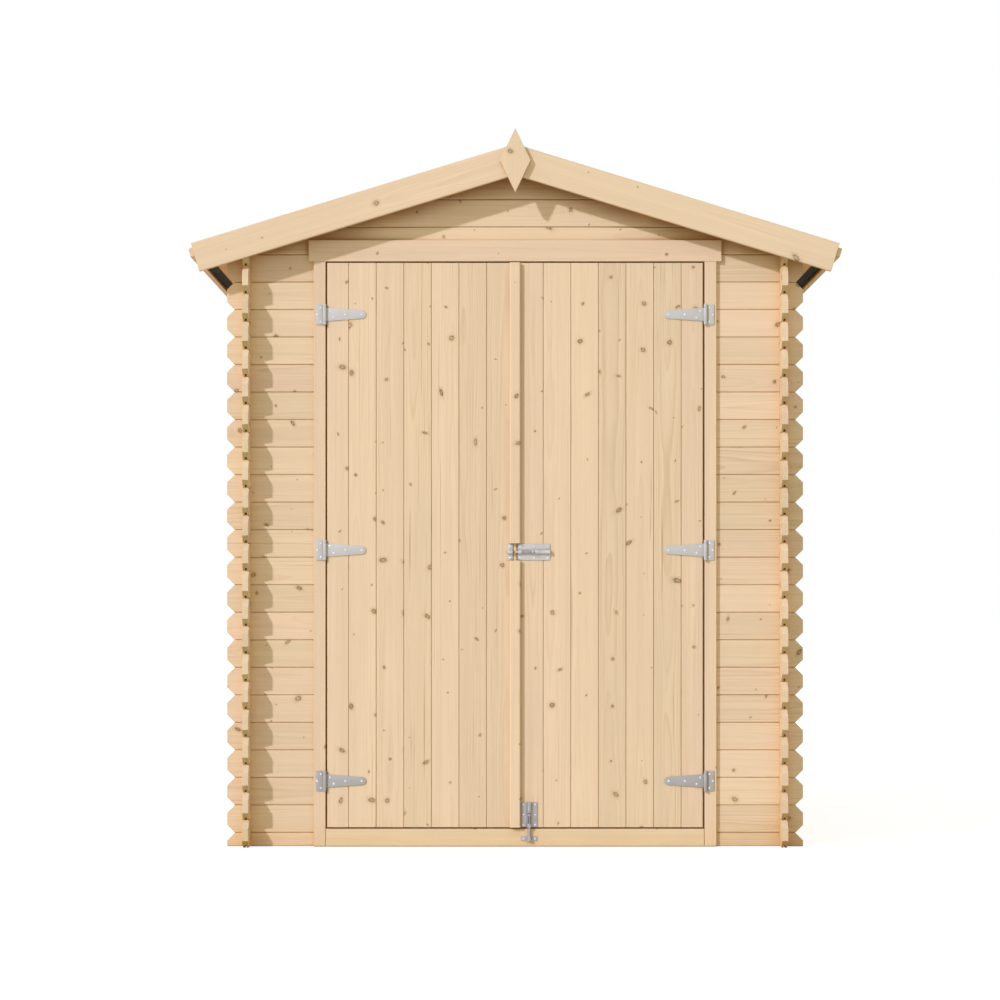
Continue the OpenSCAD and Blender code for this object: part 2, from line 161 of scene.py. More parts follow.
def drawOut(name, low, high, scores, waste, length, start=0.0, corners=(), chamfer=0.0):
    # a flat section in Y and Z is scored into cells, loses its waste cells, gets some corners
    # cut at 45 degrees and is drawn out along X
    toObjectMode()
    middle = (start, (low[0] + high[0]) / 2, (low[1] + high[1]) / 2)
    bpy.ops.mesh.primitive_plane_add(size=1, location=middle, rotation=(0, math.pi / 2, 0))
    piece = bpy.context.object
    piece.scale = (high[1] - low[1], high[0] - low[0], 1)
    settle(piece, name)
    for axis, place in scores:
        across = Vector(backWay if axis == "y" else upWay)
        score(piece, across * place + Vector((start, 0, 0)), across)
    with editing(piece, "FACE", lambda face: waste(*face.calc_center_median().yz)):
        bpy.ops.mesh.delete(type="FACE")
        bpy.ops.mesh.select_all(action="SELECT")
        bpy.ops.mesh.dissolve_limited(angle_limit=0.01)
    if corners:
        near = 0.0002
        with editing(piece, "VERT", lambda point: any(
                abs(point.co.y - y) < near and abs(point.co.z - z) < near for y, z in corners)):
            bpy.ops.mesh.bevel(offset=chamfer, affect="VERTICES", segments=1)
    pullOut(piece, (length, 0, 0))
    turnOutward(piece)
    return piece


def standOn(origin, along, across=upWay):
    # local X runs along, local Z runs across, and local Y is what is left
    x = Vector(along).normalized()
    z = Vector(across).normalized()
    place = Matrix((x, z.cross(x), z)).transposed().to_4x4()
    place.translation = origin
    return place


def copyTo(piece, place, name="copy"):
    new = piece.copy()
    new.data = piece.data.copy()
    bpy.context.collection.objects.link(new)
    new.data.transform(place)
    new.name = name
    return new


def joinPieces(parts, name):
    pickOnly(*parts)
    if len(parts) > 1:
        bpy.ops.object.join()
    parts[0].name = parts[0].data.name = name
    return parts[0]


def dropPieces(*parts):
    for part in parts:
        bpy.data.objects.remove(part)


# grain: each length of timber carries its own place in a tree and its own tone

grainLook = {
    "pithAside": 0.03,      # how far the pith may be from the middle of a board
    "pithNear": 0.014,      # nearest and furthest distance of the pith from the board
    "pithFar": 0.075,
    "taper": 0.011,         # how fast the rings run out of the face
    "seedRange": 40.0,
    "facesEnd": 0.3,        # how far a face turns before it counts as a cut end
    # cuts that face down show the whole dark end tone, which is painted shade
    "cleanEnd": 0.07,       # how much an end shows its pores, where it faces up or out
}


def layerValues(mesh, name):
    layer = mesh.attributes[name].data
    values = np.empty(len(layer) * 3, np.float32)
    layer.foreach_get("vector", values)
    return layer, values.reshape(-1, 3)


def markGrain(mesh):
    places = mesh.attributes.new("grainPlace", "FLOAT_VECTOR", "POINT").data
    places.foreach_set("vector", np.array([point.co.xzy for point in mesh.vertices]).ravel())
    # sawn ends show their pores and a little end tone, and the cuts that face down show all of the
    # dark end tone, which is painted shade
    turned, clean = grainLook["facesEnd"], grainLook["cleanEnd"]
    values = [(0.5, 0.5, 0.0 if abs(face.normal.x) < turned
               else 1.0 if face.normal.z < -turned else clean) for face in mesh.polygons]
    looks = mesh.attributes.new("boardLook", "FLOAT_VECTOR", "FACE").data
    looks.foreach_set("vector", np.array(values).ravel())


def lay(timber, place, width=0.087, mirror=False):
    # a copy of the timber, with its own place in a tree
    if "grainPlace" not in timber.data.attributes:
        markGrain(timber.data)
    new = copyTo(timber, place, "timber")
    if mirror:
        new.data.transform(Matrix.Scale(-1, 4, rightWay))
        turnOutward(new)
    look, draw = grainLook, chance.uniform
    layer, values = layerValues(new.data, "grainPlace")
    pith = chance.choice((-1, 1)) * draw(look["pithNear"], look["pithFar"])
    values[:, 2] += pith + draw(-1, 1) * look["taper"] * values[:, 0]
    values[:, 1] -= width / 2 + draw(-1, 1) * look["pithAside"]
    values[:, 0] += draw(0, look["seedRange"])
    layer.foreach_set("vector", values.ravel())
    layer, values = layerValues(new.data, "boardLook")
    values[:, 0] = chance.random()
    values[:, 1] = chance.random()
    layer.foreach_set("vector", values.ravel())
    return new


def makeTimber(name, length, thick, width, soft=0.0012):
    timber = addBlock(name, (0, -thick / 2, 0), (length, thick / 2, width))
    softenEdges(timber, soft)
    return timber


def finishPiece(parts, name, body, slotName, *nodes, finish=None, smooth=False):
    piece = joinPieces(parts, name)
    if smooth:
        smoothShade(piece)
    piece.data.materials.clear()
    piece.data.materials.append(finish or finishes[slotName])
    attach(piece, body)
    if nodes:
        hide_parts(*nodes)
    print("finished", name, len(piece.data.polygons), "faces")


# materials: the outputs of nodes are wires, and sums of wires become maths nodes

class Wire:
    def __init__(self, socket):
        self.socket, self.tree = socket, socket.id_data

    def other(self, output):
        return Wire(self.socket.node.outputs[output])

    def calc(self, operation, second=0.0):
        return addNode(self.tree, "ShaderNodeMath", {0: self, 1: second}, operation=operation)

    def __add__(self, second):
        return self.calc("ADD", second)

    def __sub__(self, second):
        return self.calc("SUBTRACT", second)

    def __mul__(self, second):
        return self.calc("MULTIPLY", second)

    def __truediv__(self, second):
        return self.calc("DIVIDE", second)

    def vector(self, operation, second=(0, 0, 0), output="Vector"):
        return addNode(self.tree, "ShaderNodeVectorMath", {0: self, 1: second}, output,
                       operation=operation)

    def split(self, kind="XYZ"):
        first = addNode(self.tree, "ShaderNodeSeparate" + kind, {0: self})
        return first, first.other(1), first.other(2)

    def remap(self, fromLow, fromHigh, toLow=0, toHigh=1, smooth=False):
        feeds = {"Value": self, "From Min": fromLow, "From Max": fromHigh,
                 "To Min": toLow, "To Max": toHigh}
        return addNode(self.tree, "ShaderNodeMapRange", feeds,
                       interpolation_type="SMOOTHSTEP" if smooth else "LINEAR")

    def noise(self, scale=1.0, detail=2.0, rough=0.5, stretch=None):
        place = self.vector("MULTIPLY", stretch) if stretch else self
        feeds = {"Vector": place, "Scale": scale, "Detail": detail, "Roughness": rough}
        return addNode(self.tree, "ShaderNodeTexNoise", feeds)

    def between(self, first, second):
        # from the first colour to the second as this wire goes from 0 to 1
        return addNode(self.tree, "ShaderNodeMix", {0: self, 6: first, 7: second}, 2,
                       data_type="RGBA")

    def tinted(self, tint):
        return addNode(self.tree, "ShaderNodeMix", {0: 1.0, 6: self, 7: tint}, 2,
                       data_type="RGBA", blend_type="MULTIPLY")

    def grey(self):
        return addNode(self.tree, "ShaderNodeCombineColor", {0: self, 1: self, 2: self})

    def ramp(self, *stops):
        # the first two stops are the ends
        wire = addNode(self.tree, "ShaderNodeValToRGB", {0: self})
        spots = wire.socket.node.color_ramp.elements
        for index, (position, colour) in enumerate(stops):
            spot = spots[index] if index < 2 else spots.new(position)
            spot.color = colour
        return wire

    def bump(self, strength, distance):
        return addNode(self.tree, "ShaderNodeBump",
                       {"Strength": strength, "Distance": distance, "Height": self})


def setInputs(node, feeds):
    for socket, value in feeds.items():
        if isinstance(value, Wire):
            node.id_data.links.new(value.socket, node.inputs[socket])
        else:
            node.inputs[socket].default_value = value


def addNode(tree, kind, feeds=None, output=0, **options):
    node = tree.nodes.new(kind)
    for key, value in options.items():
        setattr(node, key, value)
    setInputs(node, feeds or {})
    return Wire(node.outputs[output])


def newMaterial(name):
    material = bpy.data.materials.new(name)
    material.use_nodes = True
    return material, material.node_tree, material.node_tree.nodes["Principled BSDF"]


white = (1, 1, 1, 1)
pineLook = {
    "early": (0.745, 0.565, 0.402, 1),      # light wood between the rings
    "late": (0.56, 0.385, 0.225, 1),        # darker wood of the rings
    "ringStrength": 0.30,
    "ringSpace": 0.0052,
    "ringWander": 0.022,
    "streak": 0.22,
    "fibre": 0.10,
    "cloud": 0.12,
    "wanderStretch": (1.6, 7.0, 7.0),       # patterns are stretched along the board
    "streakStretch": (1.1, 46.0, 46.0),
    "fibreStretch": (26.0, 900.0, 900.0),
    "cloudStretch": (3.0, 9.0, 9.0),
    "lineStretch": (1.4, 240.0, 240.0),
    "line": 0.34,
    "lineTone": (0.40, 0.235, 0.115, 1),
    "lineEdge": (0.60, 0.74),
    "knotCell": (0.150, 0.072),
    "knotShare": 0.66,
    "knotSmall": 0.0012,
    "knotLarge": 0.0060,
    "knotRagged": (0.62, 1.38),
    "knotCore": (0.36, 0.20, 0.10, 1),
    "knotRim": (0.10, 0.045, 0.022, 1),
    "knotHalo": (0.52, 0.33, 0.165, 1),
    "coreEdge": (1.25, 0.70),               # where each part of a knot fades, in knot sizes
    "rimEdge": (0.34, 0.0),
    "haloEdge": (3.1, 0.9),
    "bendEdge": (4.2, 0.0),
    "pink": (1.015, 0.985, 0.985, 1),
    "yellow": (0.99, 0.997, 0.94, 1),
    # dark olive end-grain tone; the cuts that face down get all of it as painted shade
    "endGrainShadeTone": (0.86, 0.82, 0.60, 1),
    "pores": 0.40,
    # painted shade: wood is tinted browner where ambient occlusion finds close surfaces, in corners
    # and most of all deep in the gaps
    "shadeReach": 0.22,
    "shadeSamples": 4,
    "shadeEdge": (0.60, 0.28),
    "shadeTone": (1.0, 0.94, 0.70, 1),      # in corners, and deep in the gaps
    "gapShadeEdge": (0.36, 0.05),
    "gapShadeTone": (0.82, 0.52, 0.22, 1),
    "toneSpread": 0.10,
    "rough": 0.66,
}


def makePine(name, **changes):
    look = {**pineLook, **changes}
    material, tree, shader = newMaterial(name)
    place, marks = (addNode(tree, "ShaderNodeAttribute", output="Vector", attribute_name=layer)
                    for layer in ("grainPlace", "boardLook"))
    along, across, depth = place.split()
    tone, warmth, sawnEndAndShade = marks.split()

    # knots: one in some of the cells of a stretched pattern, measured in metres
    cellX, cellY = look["knotCell"]
    wobble = (place.noise(90, 2) - 0.5) * 0.004
    knotPlace = addNode(tree, "ShaderNodeCombineXYZ",
                        {0: (along + wobble) / cellX, 1: (across + wobble) / cellY})
    cells = addNode(tree, "ShaderNodeTexVoronoi",
                    {"Vector": knotPlace, "Scale": 1.0, "Randomness": 0.78},
                    voronoi_dimensions="2D", feature="F1")
    away = knotPlace.vector("SUBTRACT", cells.other("Position"))
    away = away.vector("MULTIPLY", (cellX, cellY, 0))
    sizeDraw, shareDraw, kindDraw = cells.other("Color").split("Color")
    # a knot is longer one way than the other, and lies at any angle
    away = addNode(tree, "ShaderNodeVectorRotate",
                   {"Vector": away, "Angle": kindDraw * 3.14}, rotation_type="Z_AXIS")
    squeeze = shareDraw.remap(0, look["knotShare"], 1.0, 0.42)
    away = away.vector("MULTIPLY", addNode(tree, "ShaderNodeCombineXYZ",
                                           {0: squeeze, 1: 1.0, 2: 0.0}))
    hasKnot = shareDraw.calc("LESS_THAN", look["knotShare"]) * sawnEndAndShade.calc("LESS_THAN", 0.03)
    knotSize = sizeDraw.calc("POWER", 2.3).remap(0, 1, look["knotSmall"], look["knotLarge"])
    ratio = away.vector("LENGTH", output="Value") / knotSize
    ratio *= place.noise(420, 3, 0.6).remap(0.3, 0.7, *look["knotRagged"])
    core = ratio.remap(*look["coreEdge"], smooth=True) * hasKnot
    rim = (ratio - 0.98).calc("ABSOLUTE").remap(*look["rimEdge"], smooth=True) * hasKnot
    halo = ratio.remap(*look["haloEdge"], smooth=True) * hasKnot
    bend = ratio.remap(*look["bendEdge"], smooth=True) * knotSize * (hasKnot * 2.4)

    # growth rings round the pith, which wander along the board and part round the knots
    wander = place.noise(1.0, 3, stretch=look["wanderStretch"]) - 0.5
    flat = addNode(tree, "ShaderNodeCombineXYZ", {0: 0.0, 1: across, 2: depth})
    radius = flat.vector("LENGTH", output="Value") + wander * look["ringWander"] + bend
    years = addNode(tree, "ShaderNodeTexNoise", {"W": radius, "Scale": 95.0, "Detail": 1.0},
                    noise_dimensions="1D")
    ring = (radius / look["ringSpace"] + years * 1.6).calc("FRACT")
    lateWood = ring.ramp(*((position, (level, level, level, 1)) for position, level in (
        (0.0, 0.0), (1.0, 0.0), (0.40, 0.10), (0.70, 0.45), (0.88, 1.0), (0.95, 0.9))))

    # broad streaks and fine fibres, and dark lines in some boards more than in others
    streak = place.noise(1.0, 4, 0.62, look["streakStretch"]) - 0.5
    fibre = place.noise(1.0, 3, 0.6, look["fibreStretch"]) - 0.5
    cloud = place.noise(1.0, 2, stretch=look["cloudStretch"]) - 0.5
    line = place.noise(1.0, 2, 0.4, look["lineStretch"]).remap(*look["lineEdge"], smooth=True)
    line *= streak.remap(-0.06, 0.08, smooth=True)
    line *= warmth.remap(0.2, 1.0, 0.5, 1.7)

    amount = lateWood * look["ringStrength"] * cloud.remap(-0.16, 0.16, 0.25, 1.35)
    wood = (amount * tone.remap(0, 1, 1.35, 0.55)).between(look["early"], look["late"])
    for part, toneName in ((line * look["line"], "lineTone"), (halo * 0.46, "knotHalo"),
                           (core * (kindDraw * 0.55 + 0.25), "knotCore"), (rim * 0.86, "knotRim")):
        wood = part.between(wood, look[toneName])
    wood = wood.tinted(warmth.between(look["pink"], look["yellow"]))
    level = streak * look["streak"] + 1.0 + fibre * look["fibre"] + cloud * look["cloud"]
    wood = wood.tinted((level + (tone - 0.5) * look["toneSpread"]).grey())
    # sawn ends get pores and the end tone, fully on the cuts that face down, where the tone is
    # painted shade
    pores = place.noise(700, 2, 0.6).remap(0.35, 0.65, 1 - look["pores"], 1.06)
    wood = sawnEndAndShade.between(wood, wood.tinted(look["endGrainShadeTone"]).tinted(pores.grey()))
    # painted shade: wood turns browner where little light gets in, in corners and deeper in the
    # gaps
    light = addNode(tree, "ShaderNodeAmbientOcclusion", {"Distance": look["shadeReach"]}, "AO",
                    samples=look["shadeSamples"])
    shade = light.remap(*look["shadeEdge"]).between(white, look["shadeTone"])
    shade = light.remap(*look["gapShadeEdge"]).between(shade, look["gapShadeTone"])
    height = lateWood * 0.35 + fibre * 0.9 + core * 0.5 - rim * 0.9
    setInputs(shader, {"Base Color": wood.tinted(shade), "Normal": height.bump(0.35, 0.0004),
                       "Roughness": fibre * 0.18 + look["rough"] - core * 0.16,
                       "Specular IOR Level": 0.15})
    return material


def makeSteel(name, light, rough, spangle, metal, foldShade):
    # screw heads carry a mark that makes them brighter and smoother than the plates
    material, tree, shader = newMaterial(name)
    place = addNode(tree, "ShaderNodeTexCoord", output="Object")
    warp = place.noise(160.0).other("Color").vector("MULTIPLY", (0.004, 0.004, 0.004))
    cells = addNode(tree, "ShaderNodeTexVoronoi",
                    {"Vector": place.vector("ADD", warp), "Scale": 210.0}, "Color")
    patch = cells.split("Color")[0]
    stain = place.noise(24, 4, 0.6)
    scratch = place.noise(1.0, 3, 0.7, (60, 60, 1400))
    level = patch.remap(0, 1, 1 - spangle, 1 + spangle)
    for mark in (stain, scratch):
        level *= mark.remap(0.3, 0.7, 0.97, 1.03)
    # plates are darker towards the bottom
    lowerDarker = place.split()[2].remap(0.15, 0.95, 0.72, 1.0)
    head = addNode(tree, "ShaderNodeAttribute", output="Fac", attribute_name="headLook")
    colour = head.between(level.grey().tinted(light).tinted(lowerDarker.grey()), (0.80, 0.80, 0.81, 1))
    # painted shade in the folds and crevices
    closed = addNode(tree, "ShaderNodeAmbientOcclusion", {"Distance": 0.007}, "AO", samples=4)
    shade = closed.remap(0.85, 0.25, 0, foldShade).between(white, (0.34, 0.28, 0.30, 1))
    roughness = (patch - 0.5) * (spangle * 1.4) + rough + (scratch - 0.5) * 0.10
    setInputs(shader, {
        "Base Color": colour.tinted(shade), "Metallic": head.remap(0, 1, metal, 1.0),
        "Roughness": addNode(tree, "ShaderNodeMix", {0: head, 2: roughness, 3: 0.30}),
        "Normal": (stain + scratch).bump(0.12, 0.0002)})
    return material


def makeFelt(name):
    material, tree, shader = newMaterial(name)
    place = addNode(tree, "ShaderNodeTexCoord", output="Object")
    grit = addNode(tree, "ShaderNodeTexVoronoi", {"Vector": place, "Scale": 620.0})
    red, green = grit.other("Color").split("Color")[:2]
    level = place.noise(9, 4, 0.6).remap(0.3, 0.7, 0.78, 1.22)
    level *= place.noise(1.0, 3, stretch=(14.0, 1.6, 14.0)).remap(0.3, 0.7, 0.86, 1.14)
    grains = red.ramp((0.0, (0.007, 0.006, 0.006, 1)), (1.0, (0.048, 0.044, 0.043, 1)),
                      (0.62, (0.014, 0.0125, 0.0125, 1)))
    setInputs(shader, {"Base Color": grains.tinted(level.grey()),
                       "Normal": (place.noise(260, 3, 0.7) - grit * 0.9).bump(0.8, 0.0009),
                       "Roughness": green.remap(0, 1, 0.78, 0.97), "Specular IOR Level": 0.3})
    return material


# the gable boards: a slightly lighter base with a longer, stronger painted shade that browns and
# darkens them under the overhang, most towards the ridge
gablePine = makePine("gablePine", early=(0.765, 0.58, 0.41, 1), pink=(1.0, 0.99, 0.97, 1),
                     shadeReach=0.13, shadeSamples=16, shadeEdge=(0.75, 0.44),
                     shadeTone=(0.62, 0.48, 0.31, 1))
finishes = {
    "wall_pine": makePine("wallPine"),
    "trim_pine": makePine("trimPine", knotShare=0.36, toneSpread=0.06, ringStrength=0.13,
                          line=0.15),
    "door_pine": makePine("doorPine", toneSpread=0.09, ringStrength=0.28, line=0.48),
    "roof_pine": makePine("roofPine", early=(0.76, 0.47, 0.245, 1), late=(0.54, 0.30, 0.13, 1),
                          knotShare=0.7, toneSpread=0.14),
    "floor_pine": makePine("floorPine", toneSpread=0.13, rough=0.58),
    "roofing_felt": makeFelt("roofingFelt"),
    "hinge_steel": makeSteel("hingeSteel", (0.525, 0.50, 0.49, 1), 0.62, 0.02, 0.15, 0.12),
    "bolt_zinc": makeSteel("boltZinc", (0.55, 0.525, 0.525, 1), 0.34, 0.02, 0.30, 1.0),
}
print("materials made")


# interlocking wall boards

boardLook = {
    "course": 0.087,        # height that a board covers
    "tongueThick": 0.006,
    "tongueUp": 0.0065,
    "grooveThick": 0.0070,
    "grooveDeep": 0.0085,
    "seam": 0.0005,         # half of the gap between two boards
    "chamfer": 0.0024,
    "tailCut": 0.024,       # cut corners on the board ends
    "notchPlay": 0.0003,
    "topExtra": 0.004,      # wood left on the top board for planing
}
clear = 0.03                # further than any board is thick


def makeBoard(name, start, end, thick, width, tongue=True, groove=True, chamfer=None):
    look = boardLook
    tongueHalf, grooveHalf = look["tongueThick"] / 2, look["grooveThick"] / 2
    base, top = look["seam"], width - look["seam"]
    grooveTop = base + look["grooveDeep"]
    scores = []
    if tongue:
        scores += [("z", top), ("y", -tongueHalf), ("y", tongueHalf)]
    if groove:
        scores += [("z", grooveTop), ("y", -grooveHalf), ("y", grooveHalf)]

    def isWaste(y, z):
        besideTongue = tongue and z > top and abs(y) > tongueHalf
        return besideTongue or (groove and z < grooveTop and abs(y) < grooveHalf)

    return drawOut(name, (-thick / 2, base), (thick / 2, top + look["tongueUp"] * tongue), scores,
                   isWaste, end - start, start,
                   [(side * thick / 2, z) for side in (-1, 1) for z in (base, top)],
                   chamfer or look["chamfer"])


def cutCorner(board, side, end, crossing, width, top=True, bottom=True):
    # the cut corners of a board's tail, and its notches round the wall that it crosses
    inner = side * (end - boardLook["tailCut"])
    low, high = sorted(side * face for face in crossing)
    low, high = low - boardLook["notchPlay"], high + boardLook["notchPlay"]
    deep = boardLook["course"] / 4
    if top:
        sawOff(board, (inner, 0, width), (side, 0, 1))
    if bottom:
        sawOff(board, (inner, 0, 0), (side, 0, -1))
    if top:
        cutAway(board, (low, -clear, width - deep), (high, clear, width + clear))
    if bottom:
        cutAway(board, (low, -clear, -clear), (high, clear, deep))


def makeLog(name, start, end, width, ends, crossing, extra=0.0, **options):
    board = makeBoard(name, start, end, boardThick, width + extra, **options)
    for side in ends:
        cutCorner(board, side, end, crossing, width, bottom=options.get("groove", True))
    return board


frontBox, backBox, sideBox = (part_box(name) for name in
                              ("front_wall_right", "back_wall", "right_wall"))
course = boardLook["course"]
halfCourse = course / 2
boardThick = frontBox[1].y - frontBox[0].y
frontY = (frontBox[0].y + frontBox[1].y) / 2
backY = (backBox[0].y + backBox[1].y) / 2
sideX = (sideBox[0].x + sideBox[1].x) / 2
splitZ, tailX, tailY = frontBox[1].z, frontBox[1].x, sideBox[1].y
sideFaces, endFaces = (sideBox[0].x, sideBox[1].x), (backBox[0].y, backBox[1].y)
endRows = round((splitZ - halfCourse) / course)
sideRows = round((sideBox[1].z - 0.01) / course)


def layEndWall(half, board, y, side, name, node):
    # a half board at the foot, then whole boards
    rows = [lay(half, standOn((0, y, 0), (side, 0, 0)))]
    for row in range(endRows):
        rows.append(lay(board, standOn((0, y, halfCourse + row * course), (side, 0, 0))))
    finishPiece(rows, name, "shed", "wall_pine", node)


inner = frontBox[0].x
shortHalf = makeLog("shortHalf", inner, tailX, halfCourse, [1], sideFaces, groove=False)
shortBoard = makeLog("shortBoard", inner, tailX, course, [1], sideFaces)
for side, word in sides:
    layEndWall(shortHalf, shortBoard, frontY, side, "frontWall" + word.title(),
               "front_wall_" + word)
longHalf = makeLog("longHalf", -tailX, tailX, halfCourse, (-1, 1), sideFaces, groove=False)
longBoard = makeLog("longBoard", -tailX, tailX, course, (-1, 1), sideFaces)
layEndWall(longHalf, longBoard, backY, 1, "backWall", "back_wall")
dropPieces(shortHalf, shortBoard, longHalf, longBoard)

# the side walls: whole boards from the ground, the top one planed to the slope of the roof
roofLook = {
    "pitch": math.radians(17),
    "boardThick": 0.016,
    "boards": 23,
    "chamfer": 0.0022,
    "play": 0.0004,          # gap under the roof boards
}
pitch = roofLook["pitch"]
level, steep = math.cos(pitch), math.sin(pitch)
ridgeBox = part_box("ridge_purlin")
ridgeZ = ridgeBox[1].z
# down each slope, and square to it
downSlope = {side: Vector((side * level, 0, -steep)) for side in (1, -1)}
offSlope = {side: Vector((side * steep, 0, level)) for side in (1, -1)}


def onSlope(along, up, side=1, y=0.0):
    return Vector((0, y, ridgeZ)) + along * downSlope[side] + up * offSlope[side]


def planeToRoof(piece, side, foot=0.0, play=roofLook["play"]):
    sawOff(piece, onSlope(0, -play) - Vector((0, 0, foot)), offSlope[side])


def sawAtRidge(piece):
    sawOff(piece, (0, 0, 0), (-level, 0, -steep))


sideBoard = makeLog("sideBoard", -tailY, tailY, course, (-1, 1), endFaces)
topBoard = makeLog("topBoard", -tailY, tailY, course, (-1, 1), endFaces, boardLook["topExtra"],
                   tongue=False)
for side, word in sides:
    rows = []
    for row in range(sideRows):
        place = standOn((side * sideX, 0, row * course), backWay)
        rows.append(lay(topBoard if row == sideRows - 1 else sideBoard, place))
    planeToRoof(rows[-1], side)
    finishPiece(rows, word + "Wall", "shed", "wall_pine", word + "_wall")
dropPieces(sideBoard, topBoard)
print("walls built")


# gables: boards sawn to the slope, with openings for the purlins

purlinLook = {"width": 0.045, "deep": 0.048, "middle": 0.430, "soft": 0.002, "play": 0.0003,
              "reach": 0.2}
purlinMiddle = purlinLook["middle"] / level
purlinNear = purlinMiddle - purlinLook["width"] / 2


def cutForPurlins(board, foot):
    half = ridgeBox[1].x + purlinLook["play"]
    cutAway(board, (-half, -clear, ridgeBox[0].z - foot), (half, clear, 1))
    for side in (-1, 1):
        tool = addBlock("purlinTool", (0, -clear, 0),
                        (purlinLook["width"], clear, purlinLook["reach"]))
        start = onSlope(purlinNear, -purlinLook["deep"], side) - Vector((0, 0, foot))
        tool.data.transform(standOn(start, downSlope[side], offSlope[side]))
        carve(board, tool)


gableRows = []
foot = splitZ
while foot < ridgeZ - 0.02:
    half = min(tailX, (ridgeZ - foot) / math.tan(pitch) + 0.02)
    row = makeBoard("gableRow" + str(len(gableRows)), -half, half, boardThick, course,
                    tongue=foot + course <= ridgeZ)
    if foot == splitZ:
        for side in (-1, 1):
            cutCorner(row, side, tailX, sideFaces, course, top=False)
    for side in (-1, 1):
        planeToRoof(row, side, foot)
    cutForPurlins(row, foot)
    gableRows.append((row, foot))
    foot += course
for y, word in ((frontY, "front"), (backY, "back")):
    rows = [lay(row, standOn((0, y, foot), rightWay)) for row, foot in gableRows]
    finishPiece(rows, word + "Gable", "shed", "wall_pine", word + "_gable", finish=gablePine)
dropPieces(*[row for row, foot in gableRows])

ridgePurlin = makeTimber("ridgePurlin", tailY * 2, purlinLook["width"], ridgeZ - ridgeBox[0].z,
                         purlinLook["soft"])
purlin = lay(ridgePurlin, standOn((0, -tailY, ridgeBox[0].z), backWay), 0.06)
for side in (-1, 1):
    planeToRoof(purlin, side, play=purlinLook["play"])
finishPiece([purlin], "ridgePurlinTimber", "shed", "roof_pine", "ridge_purlin")
sidePurlin = makeTimber("sidePurlin", tailY * 2, purlinLook["width"], purlinLook["deep"],
                        purlinLook["soft"])
for side, word in sides:
    start = onSlope(purlinMiddle, -purlinLook["deep"] - purlinLook["play"], side, -tailY)
    purlin = lay(sidePurlin, standOn(start, backWay, offSlope[side]), 0.05)
    finishPiece([purlin], word + "PurlinTimber", "shed", "roof_pine", word + "_purlin")
dropPieces(ridgePurlin, sidePurlin)
print("gables built")


# roof boards, which run from the ridge to the eaves

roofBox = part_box("roof_boards_right")
roofLow, roofHigh = roofBox[0].y, roofBox[1].y
roofThick = roofLook["boardThick"]
run = (roofBox[1].x - roofThick * steep) / level
roofCover = (roofHigh - roofLow) / roofLook["boards"]
roofBoards = []
for name in ("roofBoard", "lastBoard"):
    board = makeBoard(name, -0.01, run, roofThick, roofCover, name == "roofBoard",
                      chamfer=roofLook["chamfer"])
    sawOff(board, (0, roofThick / 2, 0), (-level, steep, 0))
    roofBoards.append(board)
for side, word in sides:
    rows = []
    for row in range(roofLook["boards"]):
        # the boards are laid from the front on the right and from the back on the left
        start = onSlope(0, roofThick / 2, side, side * (roofLow + row * roofCover))
        place = standOn(start, downSlope[side], (0, side, 0))
        rows.append(lay(roofBoards[row == roofLook["boards"] - 1], place))
    finishPiece(rows, "roofBoards" + word.title(), "shed", "roof_pine", "roof_boards_" + word)
dropPieces(*roofBoards)
print("roof boards laid")


# roofing felt: two laps on each slope, turned down and under at the eaves

feltLook = {
    "thick": 0.0018,
    "lapStart": 0.455,       # where the lower strip begins, measured down the slope
    "lapOver": 0.075,        # how far the upper strip laps over it
    "under": 0.029,          # width that is turned under the eaves
    "ridgeWide": 0.120,
    "nailSpace": 0.085,
    "nailHead": 0.0045,
    "nailHigh": 0.0012,
    "nailIn": (0.022, 0.018),       # from the edge of the lap and of the ridge strip
    "nailStray": (0.006, 0.004),    # along the shed and down the slope
    "swell": 0.0009,
    "rows": 40,
}
feltT, swell = feltLook["thick"], feltLook["swell"]
swellPattern = bpy.data.textures.new("swellPattern", "CLOUDS")
swellPattern.noise_scale = 0.22


def makeFeltStrip(name, low, high, base):
    # X runs down the slope, Z stands square to it and Y runs along the ridge
    return addBlock(name, (low, roofLow, base), (high, roofHigh, base + feltT))


def swellStrip(strip):
    for row in range(1, feltLook["rows"]):
        score(strip, (0, roofLow + (roofHigh - roofLow) * row / feltLook["rows"], 0), backWay)
    applyModifier(strip, "DISPLACE", texture=swellPattern, strength=swell, mid_level=0.35,
                  direction="Z", texture_coords="GLOBAL")


def slopePlace(side):
    return standOn((0, 0, ridgeZ), downSlope[side], offSlope[side])


lapLow, lapHigh = feltLook["lapStart"], feltLook["lapStart"] + feltLook["lapOver"]
lower = makeFeltStrip("lowerStrip", lapLow, run, roofThick)
pullOut(lower, (feltT, 0, 0), lambda face: face.normal.x > 0.9)
score(lower, (run, 0, 0), rightWay)
pullOut(lower, (0, 0, -roofThick - feltT),
        lambda face: face.normal.z < -0.9 and face.calc_center_median().x > run)
score(lower, (0, 0, 0), upWay)
pullOut(lower, (-feltLook["under"], 0, 0),
        lambda face: face.normal.x < -0.9 and face.calc_center_median().z < 0)
for part in range(1, 5):
    score(lower, (lapLow + (run - lapLow) * part / 5, 0, 0), rightWay)
swellStrip(lower)
upper = makeFeltStrip("upperStrip", -0.02, lapHigh, roofThick)
sawAtRidge(upper)
for place in (0.15, 0.3, lapLow - 0.045, lapLow - 0.004):
    score(upper, (place, 0, 0), rightWay)
with editing(upper, "VERT", lambda point: point.co.x > lapLow - 0.005):
    bpy.ops.transform.translate(value=(0, 0, feltT + swell))
swellStrip(upper)
toObjectMode()
bpy.ops.mesh.primitive_cylinder_add(vertices=10, radius=feltLook["nailHead"],
                                    depth=feltLook["nailHigh"])
